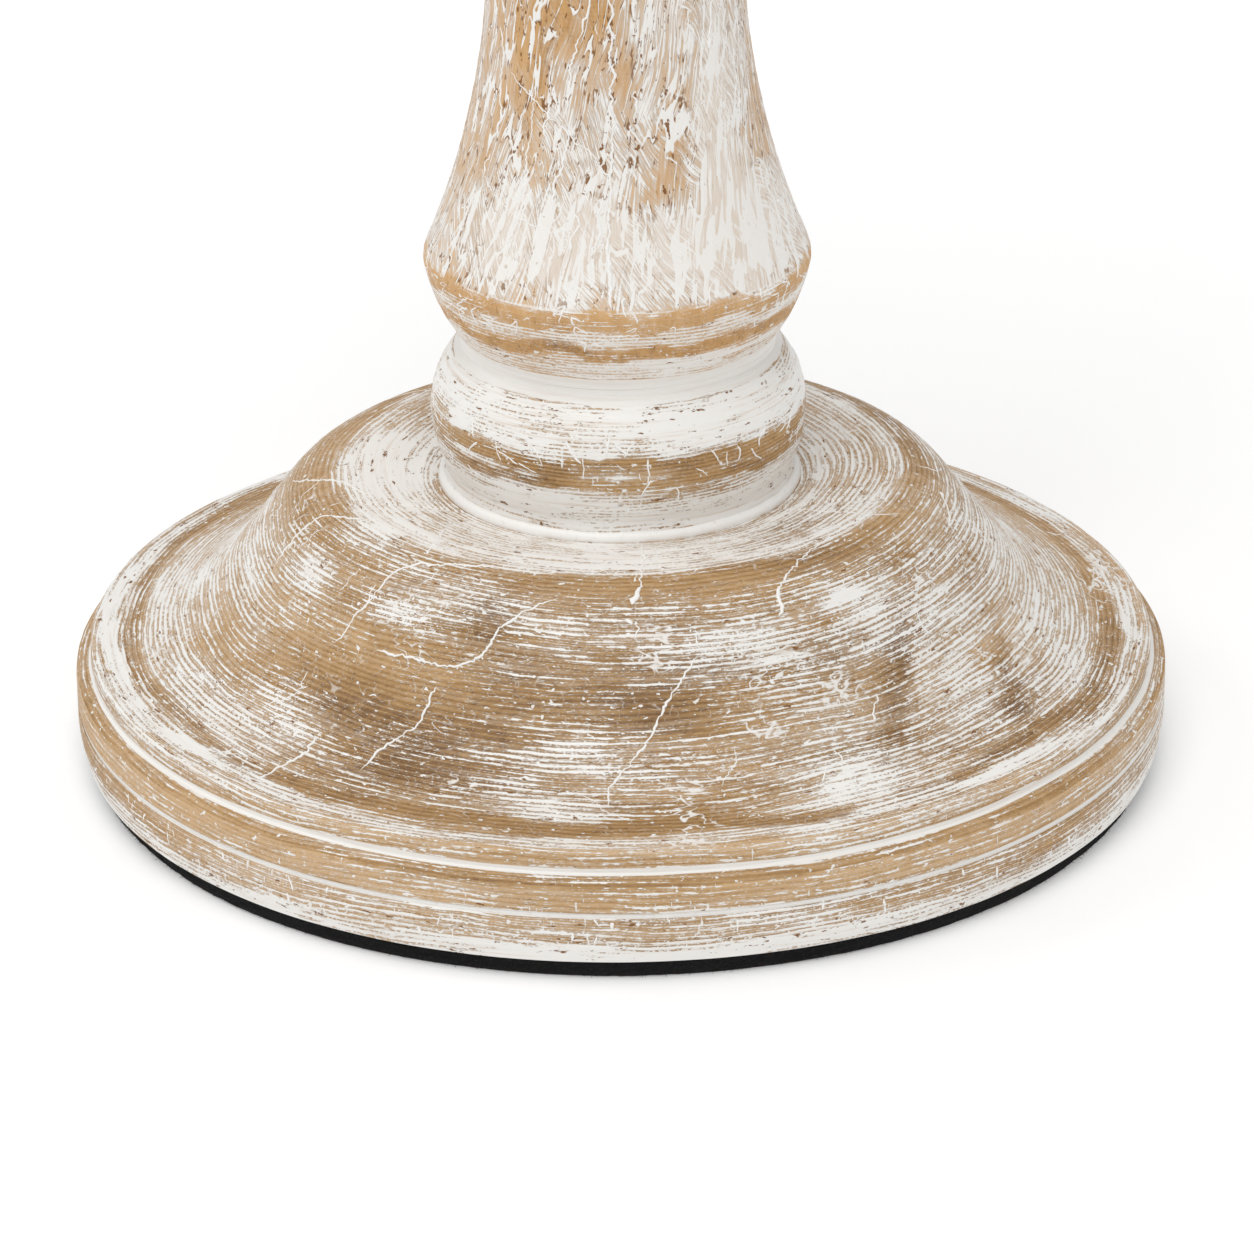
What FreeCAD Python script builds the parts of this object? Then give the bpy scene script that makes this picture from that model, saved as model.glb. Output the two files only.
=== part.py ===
"""Turned wooden candlestick for a pillar candle, as a parametric assembly.

A felt disc, a base blank glued up from two boards, a turned collar and a turned column stand on one
another and are drawn together by a screw from below. A turned dish sits on the column's top tenon. A
sheet-iron drip plate is let into the dish and held by three small screws and by the pricket, a spike
that is screwed through plate and dish into the column.

Millimetres, +Z up. The origin is on the axis, at the face that rests on the table.
"""

import FreeCAD, Part
import itertools
import os

import Sketcher

doc = FreeCAD.newDocument("Candlestick")
sizes = doc.addObject("Spreadsheet::Sheet", "Sizes")
levels = doc.addObject("App::VarSet", "Levels")


# ---------------------------------------------------------------- driving dimensions

sheet_rows = itertools.count(1)


def size(alias, value, meaning):
    """Adds one driving dimension to the sheet: a plain number with an alias."""
    row = next(sheet_rows)
    sizes.set(f"A{row}", meaning)
    sizes.set(f"B{row}", str(value))
    sizes.setAlias(f"B{row}", alias)


size("wood_height", 300.0, "table to the top of the wooden dish")

size("felt_thickness", 2.8, "felt disc")
size("felt_inset", 2.0, "felt disc set in from the base's largest radius")
size("felt_edge_round", 0.7, "rounding of the felt's lower edge")

size("base_radius", 75.2, "largest radius of the base")
size("foot_inset", 0.9, "base's lower edge inside its largest radius")
size("foot_band_height", 6.5, "from the base's lower edge to the scribed line")
size("foot_band_bulge_radius", 17.0, "roundness of the lower side band")
size("scribed_line_width", 0.9, "line cut round the side")
size("scribed_line_depth", 0.6, "line cut round the side")
size("side_band_height", 3.8, "from the scribed line to the arris")
size("quirk_depth", 2.1, "step in from the arris to the fillet")
size("quirk_rise", 1.0, "step up from the arris to the fillet")
size("fillet_height", 2.1, "small upright fillet above the quirk")
size("fillet_round", 0.7, "rounding between the fillet and the field")
size("crown_radius", 37.0, "radius of the highest circle of the base")
size("crown_rise", 23.3, "highest circle above the edge of the field")
size("ogee_fullness", 0.75, "ratio: steepness of the ogee, over 0.5 and up to 1")
size("shoulder_share", 0.33, "ratio: share of the ogee's two radii that the shoulder takes")
size("neck_dip", 1.3, "collar's seat below the crown")
size("seat_margin", 0.5, "flat seat wider than the collar's foot")

size("glue_gap", 0.1, "radial gap round a glued tenon")
size("glue_pocket", 1.0, "gap past the end of a glued tenon")
size("seam_offset", 13.5, "glued seam of the base blank, in front of the axis")
size("lower_tenon_radius", 11.0, "column's tenon through the collar into the base")
size("lower_tenon_bite", 20.7, "depth of the lower tenon in the base")
size("recess_gap", 2.0, "counterbore under the base round the washer")
size("recess_depth", 9.0, "counterbore under the base")

size("screw_radius", 2.5, "base screw over its thread")
size("screw_core_radius", 1.75, "pilot hole of the base screw")
size("screw_length", 45.0, "base screw under its head")
size("screw_tip_length", 5.0, "point of the base screw")
size("screw_head_radius", 4.8, "base screw's pan head")
size("screw_head_height", 3.0, "base screw's pan head")
size("screw_drive_radius", 1.6, "drive recess in the base screw's head")
size("screw_drive_depth", 1.5, "drive recess in the base screw's head")
size("screw_clearance", 0.3, "radial gap where a screw passes through")
size("washer_radius", 9.5, "washer under the screw head")
size("washer_thickness", 1.6, "washer under the screw head")

size("collar_foot_radius", 24.5, "lower edge of the collar")
size("collar_foot_height", 2.7, "hollow at the collar's foot")
size("collar_foot_hollow", 0.7, "depth of the hollow at the collar's foot")
size("collar_foot_hollow_radius", 4.0, "roundness of that hollow")
size("collar_swell", 1.0, "bead's widest circle stands out past the collar's foot")
size("collar_lower_rise", 8.1, "bead below its widest circle")
size("collar_upper_rise", 9.0, "bead above its widest circle")
size("joint_inset", 3.1, "collar and column where they meet, in from the collar's foot")
size("joint_groove_height", 0.8, "upright fillet on each side of that joint")

size("bulb_radius", 26.2, "arris of the bulb")
size("belt_height", 10.5, "rounded belt below the arris")
size("belt_roundness", 24.0, "radius of the belt's curve")
size("arris_height", 0.9, "narrow worn flat at the arris")
size("bell_height", 43.5, "bell from the arris up to the waist")
size("waist_radius", 17.0, "narrowest circle of the bell")
size("stem_top_radius", 15.4, "stem under the capital")
size("capital_cove_height", 16.0, "hollow that flares out under the capital")
size("capital_radius", 21.0, "arris of the capital")
size("capital_arris_height", 1.0, "narrow flat at that arris")
size("capital_quirk_depth", 2.0, "groove over the arris")
size("capital_quirk_height", 1.2, "groove over the arris")
size("upper_bead_swell", 3.5, "upper bead stands out past the upper neck")
size("upper_bead_height", 12.0, "upper bead")
size("upper_neck_radius", 19.0, "neck over the upper bead")
size("upper_neck_height", 4.0, "neck over the upper bead")
size("upper_tenon_radius", 10.0, "column's tenon in the dish")
size("upper_tenon_length", 16.0, "column's tenon in the dish")

size("dish_height", 32.0, "dish from its seat on the column to its top")
size("dish_foot_margin", 1.5, "dish's foot stands out past the upper neck it sits on")
size("dish_foot_height", 2.0, "upright edge of the dish's foot")
size("dish_step", 1.5, "small step over the dish's foot")
size("dish_radius", 57.5, "largest radius of the dish")
size("dish_rim_height", 12.0, "rounded rim of the dish")
size("dish_rim_step", 5.0, "rim stands out over the hollow underside")
size("dish_top_inset", 2.5, "rim's top edge inside its largest radius")
size("dish_lip_width", 2.5, "flat top of the rim")
size("plate_recess_depth", 3.0, "recess for the drip plate")

size("plate_gap", 0.5, "radial gap round the drip plate")
size("plate_thickness", 1.2, "sheet iron of the drip plate")
size("plate_lip_height", 1.0, "turned-up edge above the plate")
size("plate_lip_width", 1.2, "turned-up edge of the plate")

size("pricket_radius", 2.5, "straight shank of the spike")
size("pricket_shank_height", 16.0, "straight shank of the spike")
size("pricket_point_height", 16.0, "tapered point of the spike")
size("pricket_tip_radius", 0.3, "blunted tip of the spike")
size("pricket_flange_radius", 6.0, "flange that clamps the plate")
size("pricket_flange_height", 2.0, "flange that clamps the plate")
size("pricket_thread_radius", 2.0, "spike's screw over its thread")
size("pricket_core_radius", 1.4, "pilot hole of the spike's screw")
size("pricket_thread_bite", 12.0, "spike's screw in the column's tenon")
size("pricket_pilot_spare", 2.0, "pilot hole past the end of the spike's screw")

size("plate_screw_radius", 1.5, "plate screws over their thread")
size("plate_screw_core_radius", 1.0, "pilot holes of the plate screws")
size("plate_screw_length", 10.0, "plate screws under their heads")
size("plate_screw_head_radius", 2.8, "round heads of the plate screws")
size("plate_screw_head_height", 1.4, "round heads of the plate screws")
size("plate_screw_slot_width", 0.6, "slot across each head")
size("plate_screw_slot_depth", 0.7, "slot across each head")
size("plate_screw_circle_radius", 36.0, "plate screws from the axis")
PLATE_SCREW_COUNT = 3


# ---------------------------------------------------------------- levels and radii that follow from them


def level(name, expression):
    """Adds a value that is worked out from the sheet and from the levels before it."""
    levels.addProperty("App::PropertyFloat", name, "Levels")
    levels.setExpression(name, expression)


level("base_bottom", "Sizes.felt_thickness")
level("scribed_line", "base_bottom + Sizes.foot_band_height + Sizes.scribed_line_width / 2")
level("side_top", "scribed_line + Sizes.scribed_line_width / 2 + Sizes.side_band_height")
level("fillet_bottom", "side_top + Sizes.quirk_rise")
level("fillet_top", "fillet_bottom + Sizes.fillet_height")
level("field_edge", "fillet_top + Sizes.fillet_round")
level("crown", "field_edge + Sizes.crown_rise")
level("collar_seat", "crown - Sizes.neck_dip")

level("fillet_radius", "Sizes.base_radius - Sizes.quirk_depth")
level("field_radius", "fillet_radius - Sizes.fillet_round")
level("seat_radius", "Sizes.collar_foot_radius + Sizes.seat_margin")

# The ogee is a shoulder arc and a cove arc, level at their outer ends, joined by a straight slope.
level("ogee_run", "field_radius - Sizes.crown_radius")
level("half_slope", "Sizes.ogee_fullness * Sizes.crown_rise / ogee_run")
level("slope_sine", "2 * half_slope / (1 + half_slope ^ 2)")
level("slope_cosine", "(1 - half_slope ^ 2) / (1 + half_slope ^ 2)")
level("ogee_radii", "(ogee_run * slope_sine - Sizes.crown_rise * slope_cosine) / (1 - slope_cosine)")
level("shoulder_radius", "Sizes.shoulder_share * ogee_radii")
level("cove_radius", "ogee_radii - shoulder_radius")

level("lower_mortise_radius", "Sizes.lower_tenon_radius + Sizes.glue_gap")
level("lower_tenon_bottom", "collar_seat - Sizes.lower_tenon_bite")
level("mortise_floor", "lower_tenon_bottom - Sizes.glue_pocket")
level("recess_radius", "Sizes.washer_radius + Sizes.recess_gap")
level("recess_top", "base_bottom + Sizes.recess_depth")
level("screw_seat", "recess_top - Sizes.washer_thickness")
level("screw_tip", "screw_seat + Sizes.screw_length")
level("screw_hole_radius", "Sizes.screw_radius + Sizes.screw_clearance")

level("collar_radius", "Sizes.collar_foot_radius + Sizes.collar_swell")
level("joint_radius", "Sizes.collar_foot_radius - Sizes.joint_inset")
level("bead_bottom", "collar_seat + Sizes.collar_foot_height")
level("bead_middle", "bead_bottom + Sizes.collar_lower_rise")
level("bead_top", "bead_middle + Sizes.collar_upper_rise")
level("column_seat", "bead_top + Sizes.joint_groove_height")
level("belt_bottom", "column_seat + Sizes.joint_groove_height")
level("belt_top", "belt_bottom + Sizes.belt_height")
level("bell_bottom", "belt_top + Sizes.arris_height")
level("waist", "bell_bottom + Sizes.bell_height")

level("dish_seat", "Sizes.wood_height - Sizes.dish_height")
level("upper_bead_top", "dish_seat - Sizes.upper_neck_height")
level("upper_bead_bottom", "upper_bead_top - Sizes.upper_bead_height")
level("capital_top", "upper_bead_bottom - Sizes.capital_quirk_height")
level("capital_arris", "capital_top - Sizes.capital_arris_height")
level("stem_top", "capital_arris - Sizes.capital_cove_height")
level("upper_tenon_top", "dish_seat + Sizes.upper_tenon_length")
level("upper_mortise_radius", "Sizes.upper_tenon_radius + Sizes.glue_gap")
level("upper_mortise_top", "upper_tenon_top + Sizes.glue_pocket")

level("dish_foot_radius", "Sizes.upper_neck_radius + Sizes.dish_foot_margin")
level("dish_foot_top", "dish_seat + Sizes.dish_foot_height")
level("rim_bottom", "Sizes.wood_height - Sizes.dish_rim_height")
level("dish_hollow_radius", "Sizes.dish_radius - Sizes.dish_rim_step")
level("lip_outer_radius", "Sizes.dish_radius - Sizes.dish_top_inset")
level("plate_recess_radius", "lip_outer_radius - Sizes.dish_lip_width")
level("plate_floor", "Sizes.wood_height - Sizes.plate_recess_depth")
level("plate_top", "plate_floor + Sizes.plate_thickness")
level("plate_radius", "plate_recess_radius - Sizes.plate_gap")
level("flange_top", "plate_top + Sizes.pricket_flange_height")
level("shank_top", "flange_top + Sizes.pricket_shank_height")
level("pricket_tip", "shank_top + Sizes.pricket_point_height")
level("pricket_thread_end", "upper_tenon_top - Sizes.pricket_thread_bite")
level("pricket_pilot_end", "pricket_thread_end - Sizes.pricket_pilot_spare")
level("pricket_hole_radius", "Sizes.pricket_thread_radius + Sizes.screw_clearance")
level("plate_screw_tip", "plate_top - Sizes.plate_screw_length")
level("plate_screw_hole_radius", "Sizes.plate_screw_radius + Sizes.screw_clearance")

doc.recompute()


# ---------------------------------------------------------------- half outlines turned about the axis

LEFT = 1
RIGHT = -1
UPRIGHT_AXIS = -2
LEVEL_AXIS = -1
START = 1
END = 2
CENTRE = 3
ORIGIN = (LEVEL_AXIS, START)


def number(expression):
    """Works out an expression on the sheet and the levels."""
    return float(levels.evalExpression(expression))


def origin_feature(body, role):
    """Finds one of a body's own origin planes or axes."""
    return next(item for item in body.Origin.OriginFeatures if item.Role == role)


def new_body(name):
    """Adds an empty body whose label names the sub-part."""
    body = doc.addObject("PartDesign::Body", name)
    body.Label = name
    return body


def new_sketch(body, name, role):
    """Adds a sketch on one of the body's origin planes."""
    sketch = body.newObject("Sketcher::SketchObject", name)
    sketch.AttachmentSupport = [(origin_feature(body, role), "")]
    sketch.MapMode = "FlatFace"
    return sketch


def bind(sketch, constraint, expression):
    """Adds a dimensional constraint and binds it to an expression."""
    index = sketch.addConstraint(constraint)
    sketch.setExpression(f"Constraints[{index}]", expression)


def arc_between(start, end, radius, side):
    """Minor arc from start to end whose centre is on the given side of the way there."""
    chord = end - start
    half = chord.Length / 2
    across = FreeCAD.Vector(-chord.y, chord.x, 0).normalize() * side
    reach = (radius ** 2 - half ** 2) ** 0.5
    centre = (start + end) / 2 + across * reach
    middle = centre - across * radius
    return Part.Arc(start, middle, end)


def outline(sketch, stations):
    """Draws a closed outline, with its stations in the order that the outline runs.

    A station is (radius, level), and the edge that leaves it is straight. It is
    (radius, level, arc radius, side) where that edge is an arc, with its centre on that side.
    """
    points = [FreeCAD.Vector(number(item[0]), number(item[1]), 0) for item in stations]
    vertices = []
    for index, (station, start) in enumerate(zip(stations, points)):
        end = points[(index + 1) % len(points)]
        if len(station) == 2:
            sketch.addGeometry(Part.LineSegment(start, end))
            vertices.append((index, START, END))
        else:
            radius, side = station[2:]
            sketch.addGeometry(arc_between(start, end, number(radius), side))
            bind(sketch, Sketcher.Constraint("Radius", index, number(radius)), radius)
            ends = (START, END) if side == LEFT else (END, START)
            vertices.append((index, *ends))
    for (edge, _, own_end), (ahead, own_start, _) in zip(vertices, vertices[1:] + vertices[:1]):
        sketch.addConstraint(Sketcher.Constraint("Coincident", edge, own_end, ahead, own_start))
    for station, point, (edge, own_start, _) in zip(stations, points, vertices):
        if station[0] == "0":
            sketch.addConstraint(Sketcher.Constraint("PointOnObject", edge, own_start, UPRIGHT_AXIS))
        else:
            bind(sketch, Sketcher.Constraint("DistanceX", *ORIGIN, edge, own_start, point.x), station[0])
        if station[1] == "0":
            sketch.addConstraint(Sketcher.Constraint("PointOnObject", edge, own_start, LEVEL_AXIS))
        else:
            bind(sketch, Sketcher.Constraint("DistanceY", *ORIGIN, edge, own_start, point.y), station[1])


def quarter_round(rise, run):
    """Radius of an arc that is square to its short side at one end: rise along, run across."""
    return f"(({rise}) ^ 2 + ({run}) ^ 2) / (2 * ({run}))"


def turned(body, kind, name, stations):
    """Turns a half outline about the axis: kind is Revolution for wood added, Groove for wood cut."""
    sketch = new_sketch(body, f"{name}_outline", "XZ_Plane")
    outline(sketch, stations)
    feature = body.newObject(f"PartDesign::{kind}", name)
    feature.Profile = sketch
    feature.ReferenceAxis = (sketch, ["V_Axis"])
    feature.Angle = 360
    return feature


# ---------------------------------------------------------------- felt pad and base


def felt_pad():
    """Felt disc, its lower edge rounded."""
    body = new_body("felt_pad")
    edge = "(Sizes.base_radius - Sizes.felt_inset)"
    turned(body, "Revolution", "felt_disc", [
        ("0", "0"),
        (f"{edge} - Sizes.felt_edge_round", "0", "Sizes.felt_edge_round", LEFT),
        (edge, "Sizes.felt_edge_round"),
        (edge, "Levels.base_bottom"),
        ("0", "Levels.base_bottom"),
    ])


def turned_base(body):
    """Whole base blank as it comes off the lathe: side bands, quirk, fillet, ogee and seat."""
    half_line = "Sizes.scribed_line_width / 2"
    crown_roundness = quarter_round("Sizes.crown_radius - Levels.seat_radius", "Sizes.neck_dip")
    steep_run = "Levels.slope_sine"
    steep_drop = "(1 - Levels.slope_cosine)"
    turned(body, "Revolution", "turned_blank", [
        ("0", "Levels.base_bottom"),
        ("Sizes.base_radius - Sizes.foot_inset", "Levels.base_bottom",
         "Sizes.foot_band_bulge_radius", LEFT),
        ("Sizes.base_radius", f"Levels.scribed_line - {half_line}"),
        ("Sizes.base_radius - Sizes.scribed_line_depth", "Levels.scribed_line"),
        ("Sizes.base_radius", f"Levels.scribed_line + {half_line}"),
        ("Sizes.base_radius", "Levels.side_top"),
        ("Levels.fillet_radius", "Levels.fillet_bottom"),
        ("Levels.fillet_radius", "Levels.fillet_top", "Sizes.fillet_round", LEFT),
        ("Levels.field_radius", "Levels.field_edge", "Levels.cove_radius", RIGHT),
        (f"Levels.field_radius - Levels.cove_radius * {steep_run}",
         f"Levels.field_edge + Levels.cove_radius * {steep_drop}"),
        (f"Sizes.crown_radius + Levels.shoulder_radius * {steep_run}",
         f"Levels.crown - Levels.shoulder_radius * {steep_drop}", "Levels.shoulder_radius", LEFT),
        ("Sizes.crown_radius", "Levels.crown", crown_roundness, LEFT),
        ("Levels.seat_radius", "Levels.collar_seat"),
        ("0", "Levels.collar_seat"),
    ])


def bored_base(body):
    """Mortise from above, counterbore from below and the screw's hole between them."""
    turned(body, "Groove", "bores", [
        ("0", "Levels.base_bottom"),
        ("Levels.recess_radius", "Levels.base_bottom"),
        ("Levels.recess_radius", "Levels.recess_top"),
        ("Levels.screw_hole_radius", "Levels.recess_top"),
        ("Levels.screw_hole_radius", "Levels.mortise_floor"),
        ("Levels.lower_mortise_radius", "Levels.mortise_floor"),
        ("Levels.lower_mortise_radius", "Levels.collar_seat"),
        ("0", "Levels.collar_seat"),
    ])


def base_board(name, front):
    """One board of the base: the turned and bored blank, less what lies past the glued seam."""
    body = new_body(name)
    turned_base(body)
    bored_base(body)
    sketch = new_sketch(body, "far_side_of_seam", "XY_Plane")
    left = "Sizes.base_radius * -2"
    right = "Sizes.base_radius * 2"
    seam = "Sizes.seam_offset * -1"
    if front:
        outline(sketch, [(left, seam), (right, seam), (right, right), (left, right)])
    else:
        outline(sketch, [(left, left), (right, left), (right, seam), (left, seam)])
    cut = body.newObject("PartDesign::Pocket", "sawn_at_seam")
    cut.Profile = sketch
    cut.Type = "ThroughAll"
    cut.Reversed = True


def base_washer():
    """Flat washer at the top of the counterbore."""
    body = new_body("base_washer")
    turned(body, "Revolution", "flat_ring", [
        ("Levels.screw_hole_radius", "Levels.screw_seat"),
        ("Sizes.washer_radius", "Levels.screw_seat"),
        ("Sizes.washer_radius", "Levels.recess_top"),
        ("Levels.screw_hole_radius", "Levels.recess_top"),
    ])


def base_screw():
    """Pan-head wood screw, point up, with a conical drive recess in its head."""
    body = new_body("base_screw")
    head_bottom = "Levels.screw_seat - Sizes.screw_head_height"
    turned(body, "Revolution", "head_and_shank", [
        ("0", head_bottom),
        ("Sizes.screw_head_radius / 2", head_bottom, "Sizes.screw_head_radius", LEFT),
        ("Sizes.screw_head_radius", "Levels.screw_seat"),
        ("Sizes.screw_radius", "Levels.screw_seat"),
        ("Sizes.screw_radius", "Levels.screw_tip - Sizes.screw_tip_length"),
        ("0", "Levels.screw_tip"),
    ])
    turned(body, "Groove", "drive_recess", [
        ("0", head_bottom),
        ("Sizes.screw_drive_radius", head_bottom),
        ("0", f"{head_bottom} + Sizes.screw_drive_depth"),
    ])


# ---------------------------------------------------------------- collar and column


def neck_collar():
    """Turned ring between base and column: a hollow foot, a bead and half of the joint groove."""
    body = new_body("neck_collar")
    neck = "(Sizes.collar_foot_radius - Sizes.collar_foot_hollow)"
    lower = quarter_round("Sizes.collar_lower_rise", f"Levels.collar_radius - {neck}")
    upper = quarter_round("Sizes.collar_upper_rise", "Levels.collar_radius - Levels.joint_radius")
    turned(body, "Revolution", "bead", [
        ("Levels.lower_mortise_radius", "Levels.collar_seat"),
        ("Sizes.collar_foot_radius", "Levels.collar_seat", "Sizes.collar_foot_hollow_radius", RIGHT),
        (neck, "Levels.bead_bottom", lower, LEFT),
        ("Levels.collar_radius", "Levels.bead_middle", upper, LEFT),
        ("Levels.joint_radius", "Levels.bead_top"),
        ("Levels.joint_radius", "Levels.column_seat"),
        ("Levels.lower_mortise_radius", "Levels.column_seat"),
    ])


def column():
    """Spindle turning from tenon to tenon, with a pilot hole in each end."""
    body = new_body("column")
    bell = quarter_round("Sizes.bell_height", "Sizes.bulb_radius - Sizes.waist_radius")
    flare = quarter_round("Sizes.capital_cove_height", "Sizes.capital_radius - Sizes.stem_top_radius")
    bead = quarter_round("Sizes.upper_bead_height / 2", "Sizes.upper_bead_swell")
    bead_middle = "Levels.upper_bead_bottom + Sizes.upper_bead_height / 2"
    turned(body, "Revolution", "spindle", [
        ("0", "Levels.lower_tenon_bottom"),
        ("Sizes.lower_tenon_radius", "Levels.lower_tenon_bottom"),
        ("Sizes.lower_tenon_radius", "Levels.column_seat"),
        ("Levels.joint_radius", "Levels.column_seat"),
        ("Levels.joint_radius", "Levels.belt_bottom", "Sizes.belt_roundness", LEFT),
        ("Sizes.bulb_radius", "Levels.belt_top"),
        ("Sizes.bulb_radius", "Levels.bell_bottom", bell, RIGHT),
        ("Sizes.waist_radius", "Levels.waist"),
        ("Sizes.stem_top_radius", "Levels.stem_top", flare, RIGHT),
        ("Sizes.capital_radius", "Levels.capital_arris"),
        ("Sizes.capital_radius", "Levels.capital_top"),
        ("Sizes.capital_radius - Sizes.capital_quirk_depth", "Levels.capital_top"),
        ("Sizes.upper_neck_radius", "Levels.upper_bead_bottom", bead, LEFT),
        ("Sizes.upper_neck_radius + Sizes.upper_bead_swell", bead_middle, bead, LEFT),
        ("Sizes.upper_neck_radius", "Levels.upper_bead_top"),
        ("Sizes.upper_neck_radius", "Levels.dish_seat"),
        ("Sizes.upper_tenon_radius", "Levels.dish_seat"),
        ("Sizes.upper_tenon_radius", "Levels.upper_tenon_top"),
        ("0", "Levels.upper_tenon_top"),
    ])
    turned(body, "Groove", "lower_pilot", [
        ("0", "Levels.lower_tenon_bottom"),
        ("Sizes.screw_core_radius", "Levels.lower_tenon_bottom"),
        ("Sizes.screw_core_radius", "Levels.screw_tip"),
        ("0", "Levels.screw_tip + Sizes.screw_core_radius"),
    ])
    turned(body, "Groove", "upper_pilot", [
        ("0", "Levels.pricket_pilot_end"),
        ("Sizes.pricket_core_radius", "Levels.pricket_pilot_end"),
        ("Sizes.pricket_core_radius", "Levels.upper_tenon_top"),
        ("0", "Levels.upper_tenon_top"),
    ])


# ---------------------------------------------------------------- dish and its ironwork


def drilled_circle(body, name, radius, bottom, depth):
    """Cuts the plate screws' holes: one drilled from its bottom level up, then a polar pattern."""
    sketch = new_sketch(body, f"{name}_circle", "XY_Plane")
    away = number("Sizes.plate_screw_circle_radius")
    spot = FreeCAD.Vector(0, away, 0)
    sketch.addGeometry(Part.Circle(spot, FreeCAD.Vector(0, 0, 1), number(radius)))
    sketch.addConstraint(Sketcher.Constraint("PointOnObject", 0, CENTRE, UPRIGHT_AXIS))
    bind(sketch, Sketcher.Constraint("DistanceY", *ORIGIN, 0, CENTRE, away),
         "Sizes.plate_screw_circle_radius")
    bind(sketch, Sketcher.Constraint("Radius", 0, number(radius)), radius)
    sketch.setExpression("AttachmentOffset.Base.z", bottom)
    hole = body.newObject("PartDesign::Pocket", name)
    hole.Profile = sketch
    hole.Reversed = True
    hole.setExpression("Length", depth)
    pattern_round(body, [hole], f"{name}_round")


def pattern_round(body, features, name):
    """Repeats features evenly about the axis, once for each plate screw."""
    pattern = body.newObject("PartDesign::PolarPattern", name)
    pattern.Originals = features
    pattern.Axis = (origin_feature(body, "Z_Axis"), [""])
    pattern.Angle = 360
    pattern.Occurrences = PLATE_SCREW_COUNT
    body.Tip = pattern


def top_dish():
    """Turned dish: foot, hollow underside, rounded rim, recess for the plate, mortise and holes."""
    body = new_body("top_dish")
    inner = "Levels.dish_foot_radius + Sizes.dish_step"
    run = f"(Levels.dish_hollow_radius - ({inner}))"
    rise = "(Levels.rim_bottom - Levels.dish_foot_top)"
    hollow = f"({run} ^ 2 + {rise} ^ 2) / (2 * {rise})"
    rim = quarter_round("Sizes.dish_rim_height / 2", "Sizes.dish_top_inset")
    rim_middle = "Levels.rim_bottom + Sizes.dish_rim_height / 2"
    turned(body, "Revolution", "turned_dish", [
        ("0", "Levels.dish_seat"),
        ("Levels.dish_foot_radius", "Levels.dish_seat"),
        ("Levels.dish_foot_radius", "Levels.dish_foot_top"),
        (inner, "Levels.dish_foot_top", hollow, RIGHT),
        ("Levels.dish_hollow_radius", "Levels.rim_bottom"),
        ("Levels.lip_outer_radius", "Levels.rim_bottom", rim, LEFT),
        ("Sizes.dish_radius", rim_middle, rim, LEFT),
        ("Levels.lip_outer_radius", "Sizes.wood_height"),
        ("Levels.plate_recess_radius", "Sizes.wood_height"),
        ("Levels.plate_recess_radius", "Levels.plate_floor"),
        ("0", "Levels.plate_floor"),
    ])
    turned(body, "Groove", "mortise_and_hole", [
        ("0", "Levels.dish_seat"),
        ("Levels.upper_mortise_radius", "Levels.dish_seat"),
        ("Levels.upper_mortise_radius", "Levels.upper_mortise_top"),
        ("Levels.pricket_hole_radius", "Levels.upper_mortise_top"),
        ("Levels.pricket_hole_radius", "Levels.plate_floor"),
        ("0", "Levels.plate_floor"),
    ])
    drilled_circle(body, "plate_screw_pilot", "Sizes.plate_screw_core_radius", "Levels.plate_screw_tip",
                   "Levels.plate_floor - Levels.plate_screw_tip")


def drip_plate():
    """Sheet-iron plate with a turned-up edge, a hole for the pricket and three for screws."""
    body = new_body("drip_plate")
    inside = "Levels.plate_radius - Sizes.plate_lip_width"
    lip_top = "Levels.plate_top + Sizes.plate_lip_height"
    turned(body, "Revolution", "pressed_plate", [
        ("Levels.pricket_hole_radius", "Levels.plate_floor"),
        ("Levels.plate_radius", "Levels.plate_floor"),
        ("Levels.plate_radius", lip_top),
        (inside, lip_top, "Sizes.plate_lip_height", RIGHT),
        (f"{inside} - Sizes.plate_lip_height", "Levels.plate_top"),
        ("Levels.pricket_hole_radius", "Levels.plate_top"),
    ])
    drilled_circle(body, "screw_hole", "Levels.plate_screw_hole_radius", "Levels.plate_floor",
                   "Sizes.plate_thickness")


def pricket():
    """Iron spike: screw below, flange on the plate, straight shank and tapered point above."""
    body = new_body("pricket")
    turned(body, "Revolution", "spike", [
        ("0", "Levels.pricket_thread_end"),
        ("Sizes.pricket_thread_radius", "Levels.pricket_thread_end + Sizes.pricket_thread_radius"),
        ("Sizes.pricket_thread_radius", "Levels.plate_top"),
        ("Sizes.pricket_flange_radius", "Levels.plate_top"),
        ("Sizes.pricket_flange_radius", "Levels.flange_top - Sizes.pricket_flange_height / 2",
         "Sizes.pricket_flange_height / 2", LEFT),
        ("Sizes.pricket_flange_radius - Sizes.pricket_flange_height / 2", "Levels.flange_top"),
        ("Sizes.pricket_radius", "Levels.flange_top"),
        ("Sizes.pricket_radius", "Levels.shank_top"),
        ("Sizes.pricket_tip_radius", "Levels.pricket_tip"),
        ("0", "Levels.pricket_tip"),
    ])


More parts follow.
